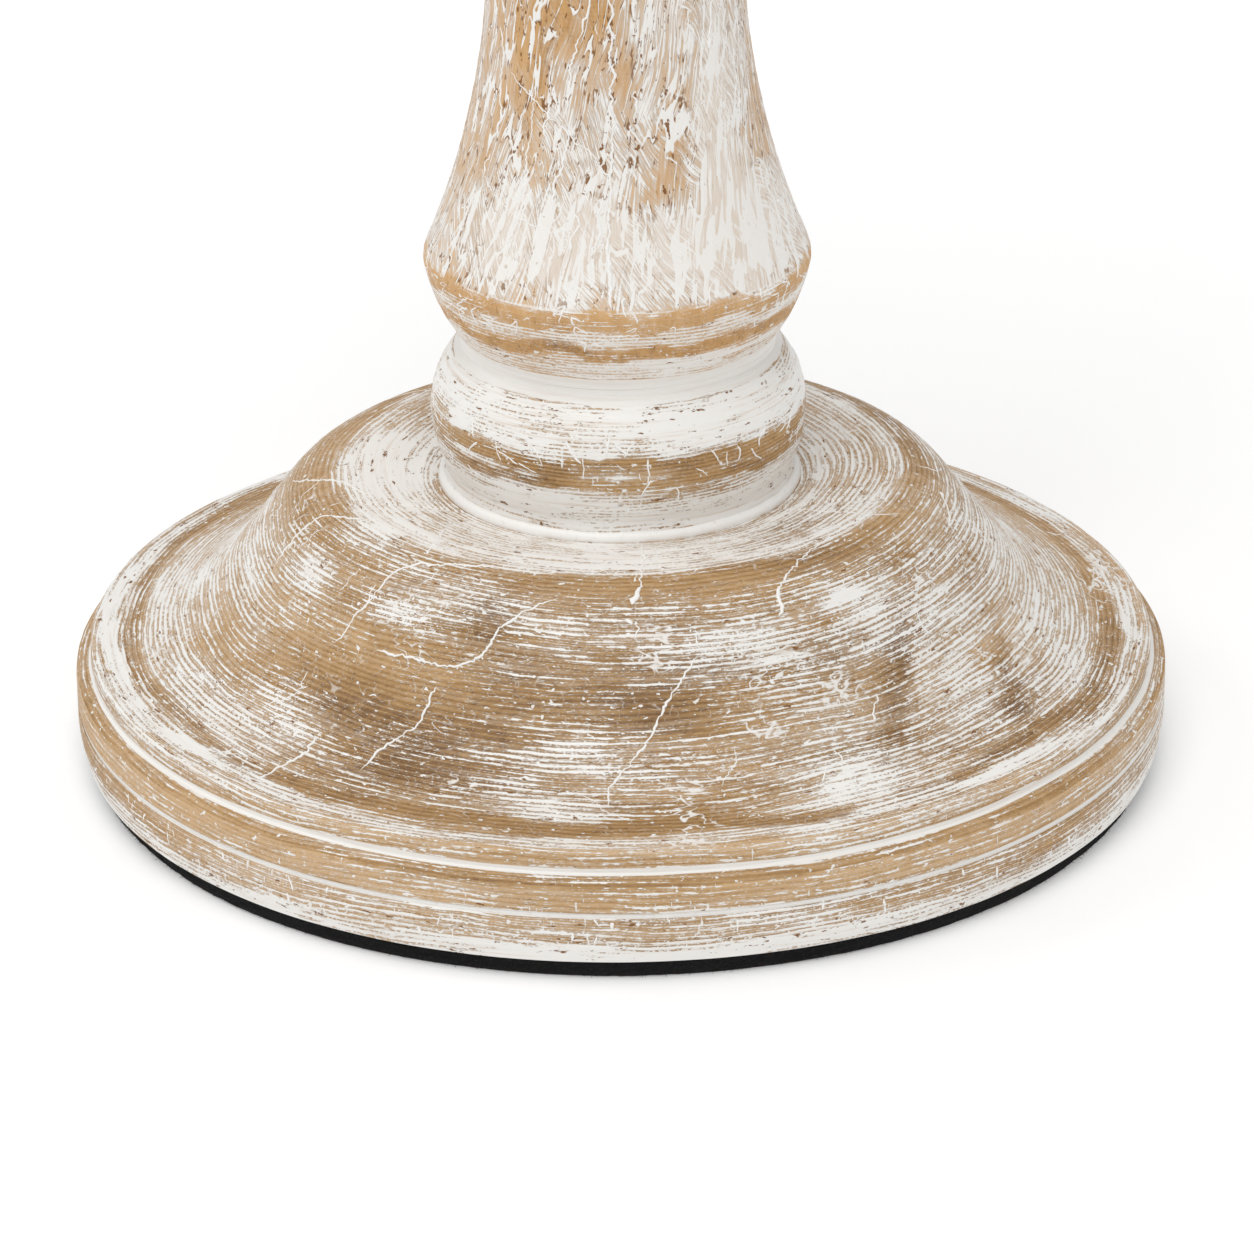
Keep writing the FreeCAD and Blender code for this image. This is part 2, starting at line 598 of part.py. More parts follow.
def plate_screws():
    """Three slotted round-head screws: one turned off the axis, then patterned round it."""
    body = new_body("plate_screws")
    sketch = new_sketch(body, "screw_outline", "YZ_Plane")
    away = "Sizes.plate_screw_circle_radius"
    head_top = "Levels.plate_top + Sizes.plate_screw_head_height"
    dome = quarter_round("Sizes.plate_screw_head_radius", "Sizes.plate_screw_head_height")
    outline(sketch, [
        (away, "Levels.plate_screw_tip"),
        (f"{away} + Sizes.plate_screw_radius", "Levels.plate_screw_tip + Sizes.plate_screw_radius"),
        (f"{away} + Sizes.plate_screw_radius", "Levels.plate_top"),
        (f"{away} + Sizes.plate_screw_head_radius", "Levels.plate_top", dome, LEFT),
        (away, head_top),
    ])
    screw = body.newObject("PartDesign::Revolution", "screw_body")
    screw.Profile = sketch
    screw.ReferenceAxis = (sketch, ["Edge5"])
    screw.Angle = 360
    slot_sketch = new_sketch(body, "slot_outline", "YZ_Plane")
    half_slot = "Sizes.plate_screw_slot_width / 2"
    outline(slot_sketch, [
        (f"{away} - {half_slot}", f"{head_top} - Sizes.plate_screw_slot_depth"),
        (f"{away} + {half_slot}", f"{head_top} - Sizes.plate_screw_slot_depth"),
        (f"{away} + {half_slot}", f"{head_top} + Sizes.plate_screw_slot_depth"),
        (f"{away} - {half_slot}", f"{head_top} + Sizes.plate_screw_slot_depth"),
    ])
    slot = body.newObject("PartDesign::Pocket", "driver_slot")
    slot.Profile = slot_sketch
    slot.SideType = "Symmetric"
    slot.setExpression("Length", "Sizes.plate_screw_head_radius * 2")
    pattern_round(body, [screw, slot], "screws_round")


# ---------------------------------------------------------------- build, check and write


def check_document():
    """Stops if an object failed, a cut removed nothing or a sub-part isn't sound."""
    for item in doc.Objects:
        if "Invalid" in item.State or "Error" in item.State:
            raise RuntimeError(f"{item.Name} failed: {item.State}")
        if item.TypeId in ("PartDesign::Groove", "PartDesign::Pocket"):
            before = item.BaseFeature.Shape.Volume
            if item.Shape.Volume >= before:
                raise RuntimeError(f"{item.Name} cuts nothing")
    for body in bodies():
        if body.Shape.isNull() or not body.Shape.isValid():
            raise RuntimeError(f"{body.Label} has no sound shape")


def bodies():
    """Lists the sub-parts."""
    return [item for item in doc.Objects if item.TypeId == "PartDesign::Body"]


felt_pad()
base_board("base_board_front", front=True)
base_board("base_board_rear", front=False)
base_washer()
base_screw()
neck_collar()
column()
top_dish()
drip_plate()
pricket()
plate_screws()

doc.recompute()
check_document()

os.makedirs("parts", exist_ok=True)
for sub_part in bodies():
    sub_part.Shape.exportStep(f"parts/{sub_part.Label}.step")
    print(f"{sub_part.Label}: {len(sub_part.Shape.Solids)} solid(s), {sub_part.Shape.Volume:.1f} mm3")
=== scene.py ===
"""Looks of a whitewashed turned candlestick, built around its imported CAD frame.

Lengths inside the classes are millimetres; meshes are written in metres.
A place on a turned skin is (turn, run): degrees round the axis from +X, and
millimetres along the piece's outline from its lower outer edge.
"""

import logging
import math
from dataclasses import dataclass, field
from enum import Enum
from functools import partial
from typing import ClassVar

import bmesh
import bpy
import numpy as np
from mathutils import Matrix, Vector


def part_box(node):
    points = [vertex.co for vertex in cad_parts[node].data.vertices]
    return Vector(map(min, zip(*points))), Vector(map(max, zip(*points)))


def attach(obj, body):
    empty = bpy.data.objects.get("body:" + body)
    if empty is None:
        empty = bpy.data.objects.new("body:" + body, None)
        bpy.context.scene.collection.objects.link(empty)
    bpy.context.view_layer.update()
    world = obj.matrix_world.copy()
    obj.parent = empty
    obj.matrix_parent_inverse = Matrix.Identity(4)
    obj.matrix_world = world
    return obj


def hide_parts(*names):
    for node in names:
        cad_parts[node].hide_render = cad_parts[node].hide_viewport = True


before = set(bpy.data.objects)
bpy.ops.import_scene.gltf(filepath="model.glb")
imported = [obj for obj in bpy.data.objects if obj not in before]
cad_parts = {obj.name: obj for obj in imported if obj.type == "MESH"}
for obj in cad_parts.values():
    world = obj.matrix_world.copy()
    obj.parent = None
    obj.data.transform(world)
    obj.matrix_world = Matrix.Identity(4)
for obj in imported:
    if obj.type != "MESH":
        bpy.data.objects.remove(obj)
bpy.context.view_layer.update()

MM = 0.001
BODY = "root"
WOOD_SLOT = "whitewashed_wood"
PAINT_IOR = 1.46
FAR = 1e9  # past the end of every outline
ON_AXIS = 1e-6  # millimetres from the axis that count as on it
POINT_GAP = 0.05  # spacing of an outline's own points
CORNER_ROWS = 2.2  # mesh rows for each radian that an outline turns
TINY = 1e-9  # keeps a division off zero
FADE = 0.6  # millimetres over which relief and marks come and go
LOG = logging.getLogger("candlestick")


# ---------------------------------------------------------------- node wiring


class Wire:
    """An output socket of a material's nodes that takes part in Python sums."""

    def __init__(self, bench: "Bench", socket: bpy.types.NodeSocket) -> None:
        """Keeps the socket and the bench it belongs to."""
        self.bench, self.socket = bench, socket

    def sum(self, operation: str, *values: object) -> "Wire":
        """What one Math node makes of some wires or numbers."""
        return self.bench.node("ShaderNodeMath", {"operation": operation}, dict(enumerate(values)))

    def __add__(self, other: object) -> "Wire":
        """This plus other."""
        return self.sum("ADD", self, other)

    def __radd__(self, other: object) -> "Wire":
        """Other plus this."""
        return self.sum("ADD", other, self)

    def __sub__(self, other: object) -> "Wire":
        """This less other."""
        return self.sum("SUBTRACT", self, other)

    def __rsub__(self, other: object) -> "Wire":
        """Other less this."""
        return self.sum("SUBTRACT", other, self)

    def __mul__(self, other: object) -> "Wire":
        """This times other."""
        return self.sum("MULTIPLY", self, other)

    def __rmul__(self, other: object) -> "Wire":
        """Other times this."""
        return self.sum("MULTIPLY", other, self)

    def __truediv__(self, other: object) -> "Wire":
        """This over other."""
        return self.sum("DIVIDE", self, other)

    def __rtruediv__(self, other: object) -> "Wire":
        """Other over this."""
        return self.sum("DIVIDE", other, self)

    def __abs__(self) -> "Wire":
        """Its size without its sign."""
        return self.sum("ABSOLUTE", self)

    def most(self, other: object) -> "Wire":
        """The larger of this and other."""
        return self.sum("MAXIMUM", self, other)

    def fold(self) -> "Wire":
        """A zigzag from 0 to 1 and back over each unit."""
        return self.sum("PINGPONG", self, 0.5) * 2.0

    def step(self, low: float, high: float) -> "Wire":
        """A smooth step, which falls where low is the larger.

        Args:
            low: where it is 0.
            high: where it is 1.

        Returns:
            The step.
        """
        sockets = {"Value": self, "From Min": min(low, high), "From Max": max(low, high)}
        if low > high:
            sockets |= {"To Min": 1.0, "To Max": 0.0}
        return self.bench.node("ShaderNodeMapRange", {"interpolation_type": "SMOOTHSTEP"}, sockets)


Place = tuple[Wire, Wire, Wire]
Triple = tuple[float, float, float]
Colour = Triple
Sockets = dict[int | str, object]


class Bench:
    """One material being wired."""

    def __init__(self, name: str) -> None:
        """Starts a material that holds a Principled shader and its output.

        Args:
            name: the material's name.
        """
        self.material = bpy.data.materials.new(name)
        self.material.use_nodes = True
        self.tree = self.material.node_tree
        self.tree.nodes.clear()
        self.shader = self.tree.nodes.new("ShaderNodeBsdfPrincipled")
        output = self.tree.nodes.new("ShaderNodeOutputMaterial")
        self.tree.links.new(self.shader.outputs[0], output.inputs[0])

    def plug(self, node: bpy.types.Node, sockets: Sockets) -> None:
        """Sets or wires a node's inputs.

        Args:
            node: the node.
            sockets: a wire or a plain value for each input's name or place.
        """
        for key, value in sockets.items():
            if isinstance(value, Wire):
                self.tree.links.new(value.socket, node.inputs[key])
            else:
                node.inputs[key].default_value = value

    def node(
        self, kind: str, settings: dict[str, object], sockets: Sockets, give: int | str = 0
    ) -> Wire:
        """Adds one node.

        Args:
            kind: the node's type.
            settings: its properties; a ramp's stops go under "stops".
            sockets: a wire or a plain value for each input.
            give: the output that is wanted.

        Returns:
            That output.
        """
        made = self.tree.nodes.new(kind)
        for key, value in settings.items():
            if key == "stops":
                self._stops(made.color_ramp, value)
            else:
                setattr(made, key, value)
        self.plug(made, sockets)
        return Wire(self, made.outputs[give])

    @staticmethod
    def _stops(ramp: bpy.types.ColorRamp, stops: list[tuple[float, Colour]]) -> None:
        """Gives a colour ramp its stops.

        Args:
            ramp: the ramp.
            stops: a position and a linear colour for each.
        """
        while len(ramp.elements) < len(stops):
            ramp.elements.new(0.5)
        for element, (position, colour) in zip(ramp.elements, stops):
            element.position = position
            element.color = (*colour, 1.0)

    def place(self) -> Place:
        """Where a point is in the row frame.

        Returns:
            x, y and z in millimetres.
        """
        sockets = {0: self.node("ShaderNodeTexCoord", {}, {}, "Object"), "Scale": 1.0 / MM}
        scaled = self.node("ShaderNodeVectorMath", {"operation": "SCALE"}, sockets)
        split = self.node("ShaderNodeSeparateXYZ", {}, {0: scaled})
        return tuple(Wire(self, output) for output in split.socket.node.outputs)

    def mark(self, name: str) -> Wire:
        """A number that the mesh carries at each point."""
        return self.node("ShaderNodeAttribute", {"attribute_name": name}, {}, "Fac")

    def spot(
        self, place: Place, scale: float | Triple, axis: int | None = None, shift: float = 0.0
    ) -> Wire:
        """A place as one vector, in units of a pattern's cells.

        Args:
            place: three wires.
            scale: cells in a millimetre, one number or one for each part.
            axis: the part that is shifted, so that two patterns differ.
            shift: how far, in cells.

        Returns:
            The vector.
        """
        scales = scale if isinstance(scale, tuple) else (scale,) * 3
        parts = [part * size for part, size in zip(place, scales)]
        if axis is not None:
            parts[axis] = parts[axis] + shift
        return self.node("ShaderNodeCombineXYZ", {}, dict(enumerate(parts)))

    def noise(
        self, where: Wire, detail: float = 2.0, rough: float = 0.5, distort: float = 0.0
    ) -> Wire:
        """Smooth noise, stretched so that it nearly fills 0 to 1.

        Args:
            where: the point, already scaled so that a cell is one unit.
            detail: octaves.
            rough: strength of the finer octaves.
            distort: warping.

        Returns:
            The noise, centred on 0.5.
        """
        sockets = {"Vector": where, "Scale": 1.0, "Detail": detail, "Roughness": rough}
        sockets["Distortion"] = distort
        return (self.node("ShaderNodeTexNoise", {}, sockets) - 0.5) * 1.7 + 0.5

    def blend(self, share: Wire, first: Wire | Colour, second: Wire | Colour) -> Wire:
        """Mixes two colours.

        Args:
            share: how much of the second there is.
            first: a wire or a linear colour.
            second: a wire or a linear colour.

        Returns:
            The mixed colour.
        """
        colours = [c if isinstance(c, Wire) else (*c, 1.0) for c in (first, second)]
        sockets = {0: share, 6: colours[0], 7: colours[1]}
        return self.node("ShaderNodeMix", {"data_type": "RGBA"}, sockets, 2)

    def bump(self, height: Wire, deep: float, strength: float) -> Wire:
        """A normal from a height, of which 1 is deep millimetres."""
        sockets = {"Strength": strength, "Distance": deep * MM, "Height": height}
        return self.node("ShaderNodeBump", {}, sockets)

    def finish(self, **sockets: object) -> bpy.types.Material:
        """Sets the shader's inputs, named with _ for a space, and gives the material."""
        self.plug(self.shader, {name.replace("_", " "): value for name, value in sockets.items()})
        return self.material


# ------------------------------------------------------------------- finishes


class Grain(Enum):
    """Which way brush and wood grain go: scales of streaks and pores, and the furrows' strength."""

    ROUND = ((0.03, 0.45, 0.45), (0.9, 3.2, 3.2), 0.40)
    SPINDLE = ((0.42, 0.42, 0.018), (2.4, 2.4, 0.30), 0.06)


@dataclass(frozen=True)
class Whitewash:
    """Brown wood under rubbed-through off-white paint.

    The mesh carries five marks: run, cover (how thickly paint lies), tone
    (how dark the wood is), fill (paint that fills a groove) and upright
    (where the brush went up and not round).
    """

    name: str
    grain: Grain
    line_gap: float = 0.80
    crispness: float = 0.09
    worms: float = 0.075
    pale_wood: Colour = (0.615, 0.405, 0.212)
    wood: Colour = (0.392, 0.222, 0.078)
    dark_wood: Colour = (0.168, 0.080, 0.021)
    stain: Colour = (0.215, 0.088, 0.018)
    thin_paint: Colour = (0.700, 0.590, 0.485)
    paint: Colour = (0.865, 0.850, 0.818)
    veiled: float = 0.70
    relief: float = 0.10
    seed: float = 0.0
    wrap: float = 19.0  # radius that the column's marks are measured at

    def make(self) -> bpy.types.Material:
        """Wires the material.

        Returns:
            The finished material.
        """
        bench = Bench(self.name)
        place = bench.place()
        cover = bench.mark("cover")
        fill = bench.mark("fill").step(0.35, 0.65)
        marks, furrow = self._brushed_round(bench, place, cover)
        if self.grain is Grain.SPINDLE:
            upright = bench.mark("upright")
            others = self._brushed_upright(bench, place, cover)
            marks = tuple(a + (b - a) * upright for a, b in zip(marks, others))
        solid, film, veil, edges = marks
        solid = solid.most(fill * 0.96)
        edges = edges * (1.0 - fill)
        washed = bench.blend(film, self._wood(bench, place, furrow), self.thin_paint)
        washed = bench.blend(edges, washed, self.stain)
        speck = bench.noise(bench.spot(place, 2.3))
        shade = bench.blend(veil * (1.0 - fill * 0.7), self.paint, self.thin_paint)
        height = solid - veil * 0.35 + film * 0.25 + speck * 0.10 - edges * 0.3
        return bench.finish(
            Base_Color=bench.blend(solid, washed, shade),
            Roughness=0.60 - solid * 0.20 + (speck - 0.5) * 0.12,
            Normal=bench.bump(height, self.relief, 0.8),
            IOR=PAINT_IOR,
        )

    def _noise(
        self, bench: Bench, place: Place, across: float, up: float, axis: int, *look: float
    ) -> Wire:
        """Noise whose cells differ across and up.

        Args:
            bench: the material's bench.
            place: two parts across the brush's way and one along the outline.
            across: cells in a millimetre of the first two parts.
            up: cells in a millimetre of the third.
            axis: the part that the seed shifts.
            look: octaves, strength of the finer ones and warping.

        Returns:
            The noise.
        """
        return bench.noise(bench.spot(place, (across, across, up), axis, self.seed), *look)

    def _brushed_round(
        self, bench: Bench, place: Place, cover: Wire
    ) -> tuple[tuple[Wire, Wire, Wire, Wire], Wire]:
        """Bristle lines that run round the axis, broken into dashes and beads.

        Args:
            bench: the material's bench.
            place: x, y and z in millimetres.
            cover: how thickly the paint lies.

        Returns:
            Solid paint, the thin film between, thin streaks in the solid paint
            and brown chips; and, apart, how far between two lines a place is.
        """
        run = bench.mark("run")
        noise = partial(self._noise, bench, (place[0], place[1], run))
        extra = cover - 0.5
        drift, wobble = noise(0.028, 0.06, 0, 1.0), noise(0.16, 0.5, 0, 1.0)
        dashes, beads = noise(0.10, 1.35, 0, 3.0, 0.62), noise(0.75, 1.6, 1, 3.0, 0.65)
        weave, patch = noise(2.2, 3.2, 2, 1.0), noise(0.05, 0.06, 0)
        smear = noise(0.055, 0.80, 1, 5.0, 0.66)
        between = (run / self.line_gap + drift * 2.6 + wobble * 0.45).fold()
        gate = extra * 1.9 + (dashes - 0.5) * 1.8 + (beads - 0.5) * 1.15 + 0.55
        lines = (gate.step(0.10, 1.0) * 0.62 - 0.03 - between).step(-self.crispness, self.crispness)
        hairs = (run / (self.line_gap * 0.47) + drift * 5.6 + wobble * 0.8).fold()
        thin = extra * 1.3 + (weave - 0.5) * 0.9 + (beads - 0.5) * 0.8 + 0.40
        hairs = (thin.step(0.0, 1.0) * 0.62 - hairs).step(-0.14, 0.14) * 0.70
        dots = (noise(0.85, 1.25, 1, 1.0, 0.5, 0.3) + (dashes - 0.5) * 0.12).step(0.83, 0.87)
        swept = (smear + extra * 1.35 + (weave - 0.5) * 0.20).step(0.74, 0.84)
        knots = (weave + extra * 1.3 + (dashes - 0.5) * 0.5).step(0.78, 0.88)
        maze = abs(noise(0.34, 0.62, 1, 1.0, 0.5, 0.3) - 0.5)
        worms = (patch.step(0.62, 0.80) * self.worms - maze).step(-0.03, 0.03)
        worms = worms * run.step(17.0, 19.0)
        ticks = (noise(1.9, 0.38, 1, 1.0) + extra * 0.5 + (patch - 0.5) * 0.3).step(0.86, 0.93)
        solid = lines.most(swept).most(knots * 0.92).most(worms * 0.9).most(ticks * 0.9)
        solid = solid.most(hairs).most(dots)
        film = ((smear - 0.5) * 0.9 + extra * 1.2 + 0.33).step(0.0, 1.0) * 0.66
        veil = (noise(0.07, 2.0, 2, 4.0, 0.65) - extra * 0.15).step(0.46, 0.90) * self.veiled
        chips = noise(0.42, 1.5, 1, 3.0, 0.65) - cover.step(0.60, 0.20) * 0.12
        chips = chips.step(0.755, 0.785)
        return (solid * (1.0 - chips), film * (1.0 - chips * 0.8), veil, chips * 0.95), between

    @staticmethod
    def _wound(ax: Wire, ay: Wire, height: Wire, angle: Wire) -> Place:
        """A place round the stem, turned by an angle so that marks lean.

        Args:
            ax: first part of the place.
            ay: second part of the place.
            height: its third part, which stays.
            angle: how far to turn it, in radians.

        Returns:
            The turned place.
        """
        c, s = angle.sum("COSINE", angle), angle.sum("SINE", angle)
        return ax * c - ay * s, ax * s + ay * c, height

    def _brushed_upright(self, bench: Bench, place: Place, cover: Wire) -> tuple[Wire, ...]:
        """Runs, loops and fine scratches that go up the turned column.

        Args:
            bench: the material's bench.
            place: x, y and z in millimetres.
            cover: how thickly the paint lies.

        Returns:
            Solid paint, the thin film between, thin streaks in the solid paint
            and the brown edges of its runs.
        """
        x, y, z = place
        far = x.sum("SQRT", x * x + y * y)
        ax, ay = x / far * self.wrap, y / far * self.wrap
        upright = partial(self._noise, bench, (ax, ay, z))
        bend = upright(0.07, 0.04, 0)
        right = partial(self._noise, bench, self._wound(ax, ay, z, z * 0.030 + bend * 0.30))
        left = partial(self._noise, bench, self._wound(ax, ay, z, z * -0.010 + bend * 0.20))
        gap = abs(left(0.55, 0.115, 2, 2.0, 0.45, 0.35) - 0.5) - upright(0.5, 0.16, 1) * 0.15 + 0.05
        wet = left(0.95, 0.12, 1, 2.0, 0.5, 0.2) + (cover - 0.5) * 0.6
        runs = gap.step(0.016, -0.010).most(wet.step(0.735, 0.765))
        near = gap.step(0.085, 0.02).most(wet.step(0.66, 0.72))
        pits = near * upright(1.1, 0.7, 2, 2.0, 0.6).step(0.54, 0.66) * (1.0 - runs)
        specks = upright(1.4, 0.85, 1, 2.0, 0.6) + near * 0.10
        specks = specks + upright(0.75, 0.035, 2).step(0.60, 0.70) * 0.16
        edges = pits.most(specks.step(0.88, 0.92)) * (0.97 - cover.step(0.50, 0.85) * 0.70)
        fine, steep = right(4.4, 0.36, 2, 3.0, 0.66, 0.1), left(3.8, 0.15, 1, 3.0, 0.66, 0.1)
        scratch = steep + (fine - steep) * upright(0.11, 0.06, 1).step(0.42, 0.58)
        level = (cover - 0.5) * 1.20 + (upright(0.16, 0.05, 0, 5.0, 0.65) - 0.5) * 0.80 + 0.5
        solid = runs.most((level + (scratch - 0.5) * 1.25).step(0.50, 0.66))
        film = (level + (scratch - 0.5) * 0.8).step(-0.02, 0.72) * 0.90
        veil = (scratch - level * 0.22).step(0.50, 0.24) * (1.0 - runs * 0.85)
        return solid * (1.0 - edges), film, veil * 0.8, edges

    def _wood(self, bench: Bench, place: Place, furrow: Wire) -> Wire:
        """The wood's own colour: streaks along its grain, stains and pores.

        Args:
            bench: the material's bench.
            place: x, y and z in millimetres.
            furrow: how far between two brush lines a place is.

        Returns:
            The colour.
        """
        along, pores, furrowed = self.grain.value
        tone = bench.mark("tone")
        streak = bench.noise(bench.spot(place, along, 0, self.seed), 5.0, 0.6, 0.4)
        pore = bench.noise(bench.spot(place, pores), 3.0, 0.65)
        grit = self._noise(bench, place, 0.55, 0.9, 1, 4.0, 0.7).step(0.62, 0.72)
        grit = grit * tone.step(0.35, 0.75)
        dark = tone + (streak - 0.5) * 0.45 + (pore - 0.5) * 0.38 + pore.step(0.74, 0.86) * 0.35
        dark = dark + grit * 0.22 + (furrow - 0.5) * furrowed
        stops = [(0.0, self.pale_wood), (0.5, self.wood), (1.0, self.dark_wood)]
        return bench.node("ShaderNodeValToRGB", {"stops": stops}, {0: dark})


@dataclass(frozen=True)
class PlainPaint:
    """Thick paint of the raised runs."""

    name: str
    paint: Colour = (0.90, 0.888, 0.862)
    stained: Colour = (0.76, 0.70, 0.62)

    def make(self) -> bpy.types.Material:
        """Wires the material.

        Returns:
            The finished material.
        """
        bench = Bench(self.name)
        place = bench.place()
        dirt = bench.noise(bench.spot(place, 0.9), 3.0, 0.6)
        fine = bench.noise(bench.spot(place, 5.0))
        return bench.finish(
            Base_Color=bench.blend(dirt.step(0.55, 1.0) * 0.6, self.paint, self.stained),
            Roughness=0.40 + (fine - 0.5) * 0.15,
            Normal=bench.bump(fine, 0.03, 0.6),
            IOR=PAINT_IOR,
        )


@dataclass(frozen=True)
class Felt:
    """Black pressed felt with a rusty tinge at its edge."""

    name: str
    wool: Colour = (0.0075, 0.0075, 0.0080)
    lint: Colour = (0.036, 0.033, 0.034)
    rust: Colour = (0.030, 0.012, 0.008)

    def make(self) -> bpy.types.Material:
        """Wires the material.

        Returns:
            The finished material.
        """
        bench = Bench(self.name)
        place = bench.place()
        mat = bench.noise(bench.spot(place, 3.5), 4.0, 0.7, 0.8)
        tuft = bench.noise(bench.spot(place, (0.8, 0.8, 1.6)))
        colour = bench.blend(mat.step(0.45, 1.0), self.wool, self.lint)
        low = place[2].step(0.9, 0.0) * tuft.step(0.45, 0.85)
        return bench.finish(
            Base_Color=bench.blend(low, colour, self.rust),
            Roughness=0.88 + (mat - 0.5) * 0.12,
            Normal=bench.bump(mat + tuft * 0.6, 0.22, 0.9),
            Specular_IOR_Level=0.25,
        )


@dataclass(frozen=True)
class Ironwork:
    """Metal with hammering, rubbed edges and a little dirt."""

    name: str
    base: Colour = (0.020, 0.019, 0.018)
    rubbed: Colour = (0.115, 0.105, 0.095)
    rust: Colour = (0.060, 0.027, 0.013)
    metal: float = 0.85
    roughness: float = 0.46
    hammer: float = 1.0

    def make(self) -> bpy.types.Material:
        """Wires the material.

        Returns:
            The finished material.
        """
        bench = Bench(self.name)
        place = bench.place()
        cells = {"Vector": bench.spot(place, 0.28), "Scale": 1.0}
        dents = bench.node("ShaderNodeTexVoronoi", {"feature": "SMOOTH_F1"}, cells, "Distance")
        grime = bench.noise(bench.spot(place, 0.35), 5.0, 0.65)
        fine = bench.noise(bench.spot(place, 6.0), 3.0, 0.6)
        colour = bench.blend(grime.step(0.35, 1.0) * 0.35, self.base, self.rubbed)
        return bench.finish(
            Base_Color=bench.blend((grime * fine).step(0.42, 0.60) * 0.7, colour, self.rust),
            Metallic=self.metal,
            Roughness=self.roughness + (grime - 0.5) * 0.25 + (fine - 0.5) * 0.12,
            Normal=bench.bump(dents * self.hammer + fine * 0.10, 0.25, 0.6),
        )


@dataclass(frozen=True)
class Paper:
    """Pale seamless paper of the floor."""

    name: str
    shade: Colour = (0.86, 0.86, 0.86)
    fleck: Colour = (0.845, 0.845, 0.845)
    glow: float = 0.19

    def make(self) -> bpy.types.Material:
        """Wires the material.

        Returns:
            The finished material.
        """
        bench = Bench(self.name)
        tooth = bench.noise(bench.spot(bench.place(), 0.5))
        return bench.finish(
            Base_Color=bench.blend(tooth * 0.25, self.shade, self.fleck),
            Roughness=0.9,
            Specular_IOR_Level=0.1,
            Emission_Color=(1.0, 1.0, 1.0, 1.0),
            Emission_Strength=self.glow,
        )


# ------------------------------------------------------------- turned outlines


class Swing(Enum):
    """Which way an arc bends as an outline goes up a piece's outside."""

    FULL = 1
    HOLLOW = -1


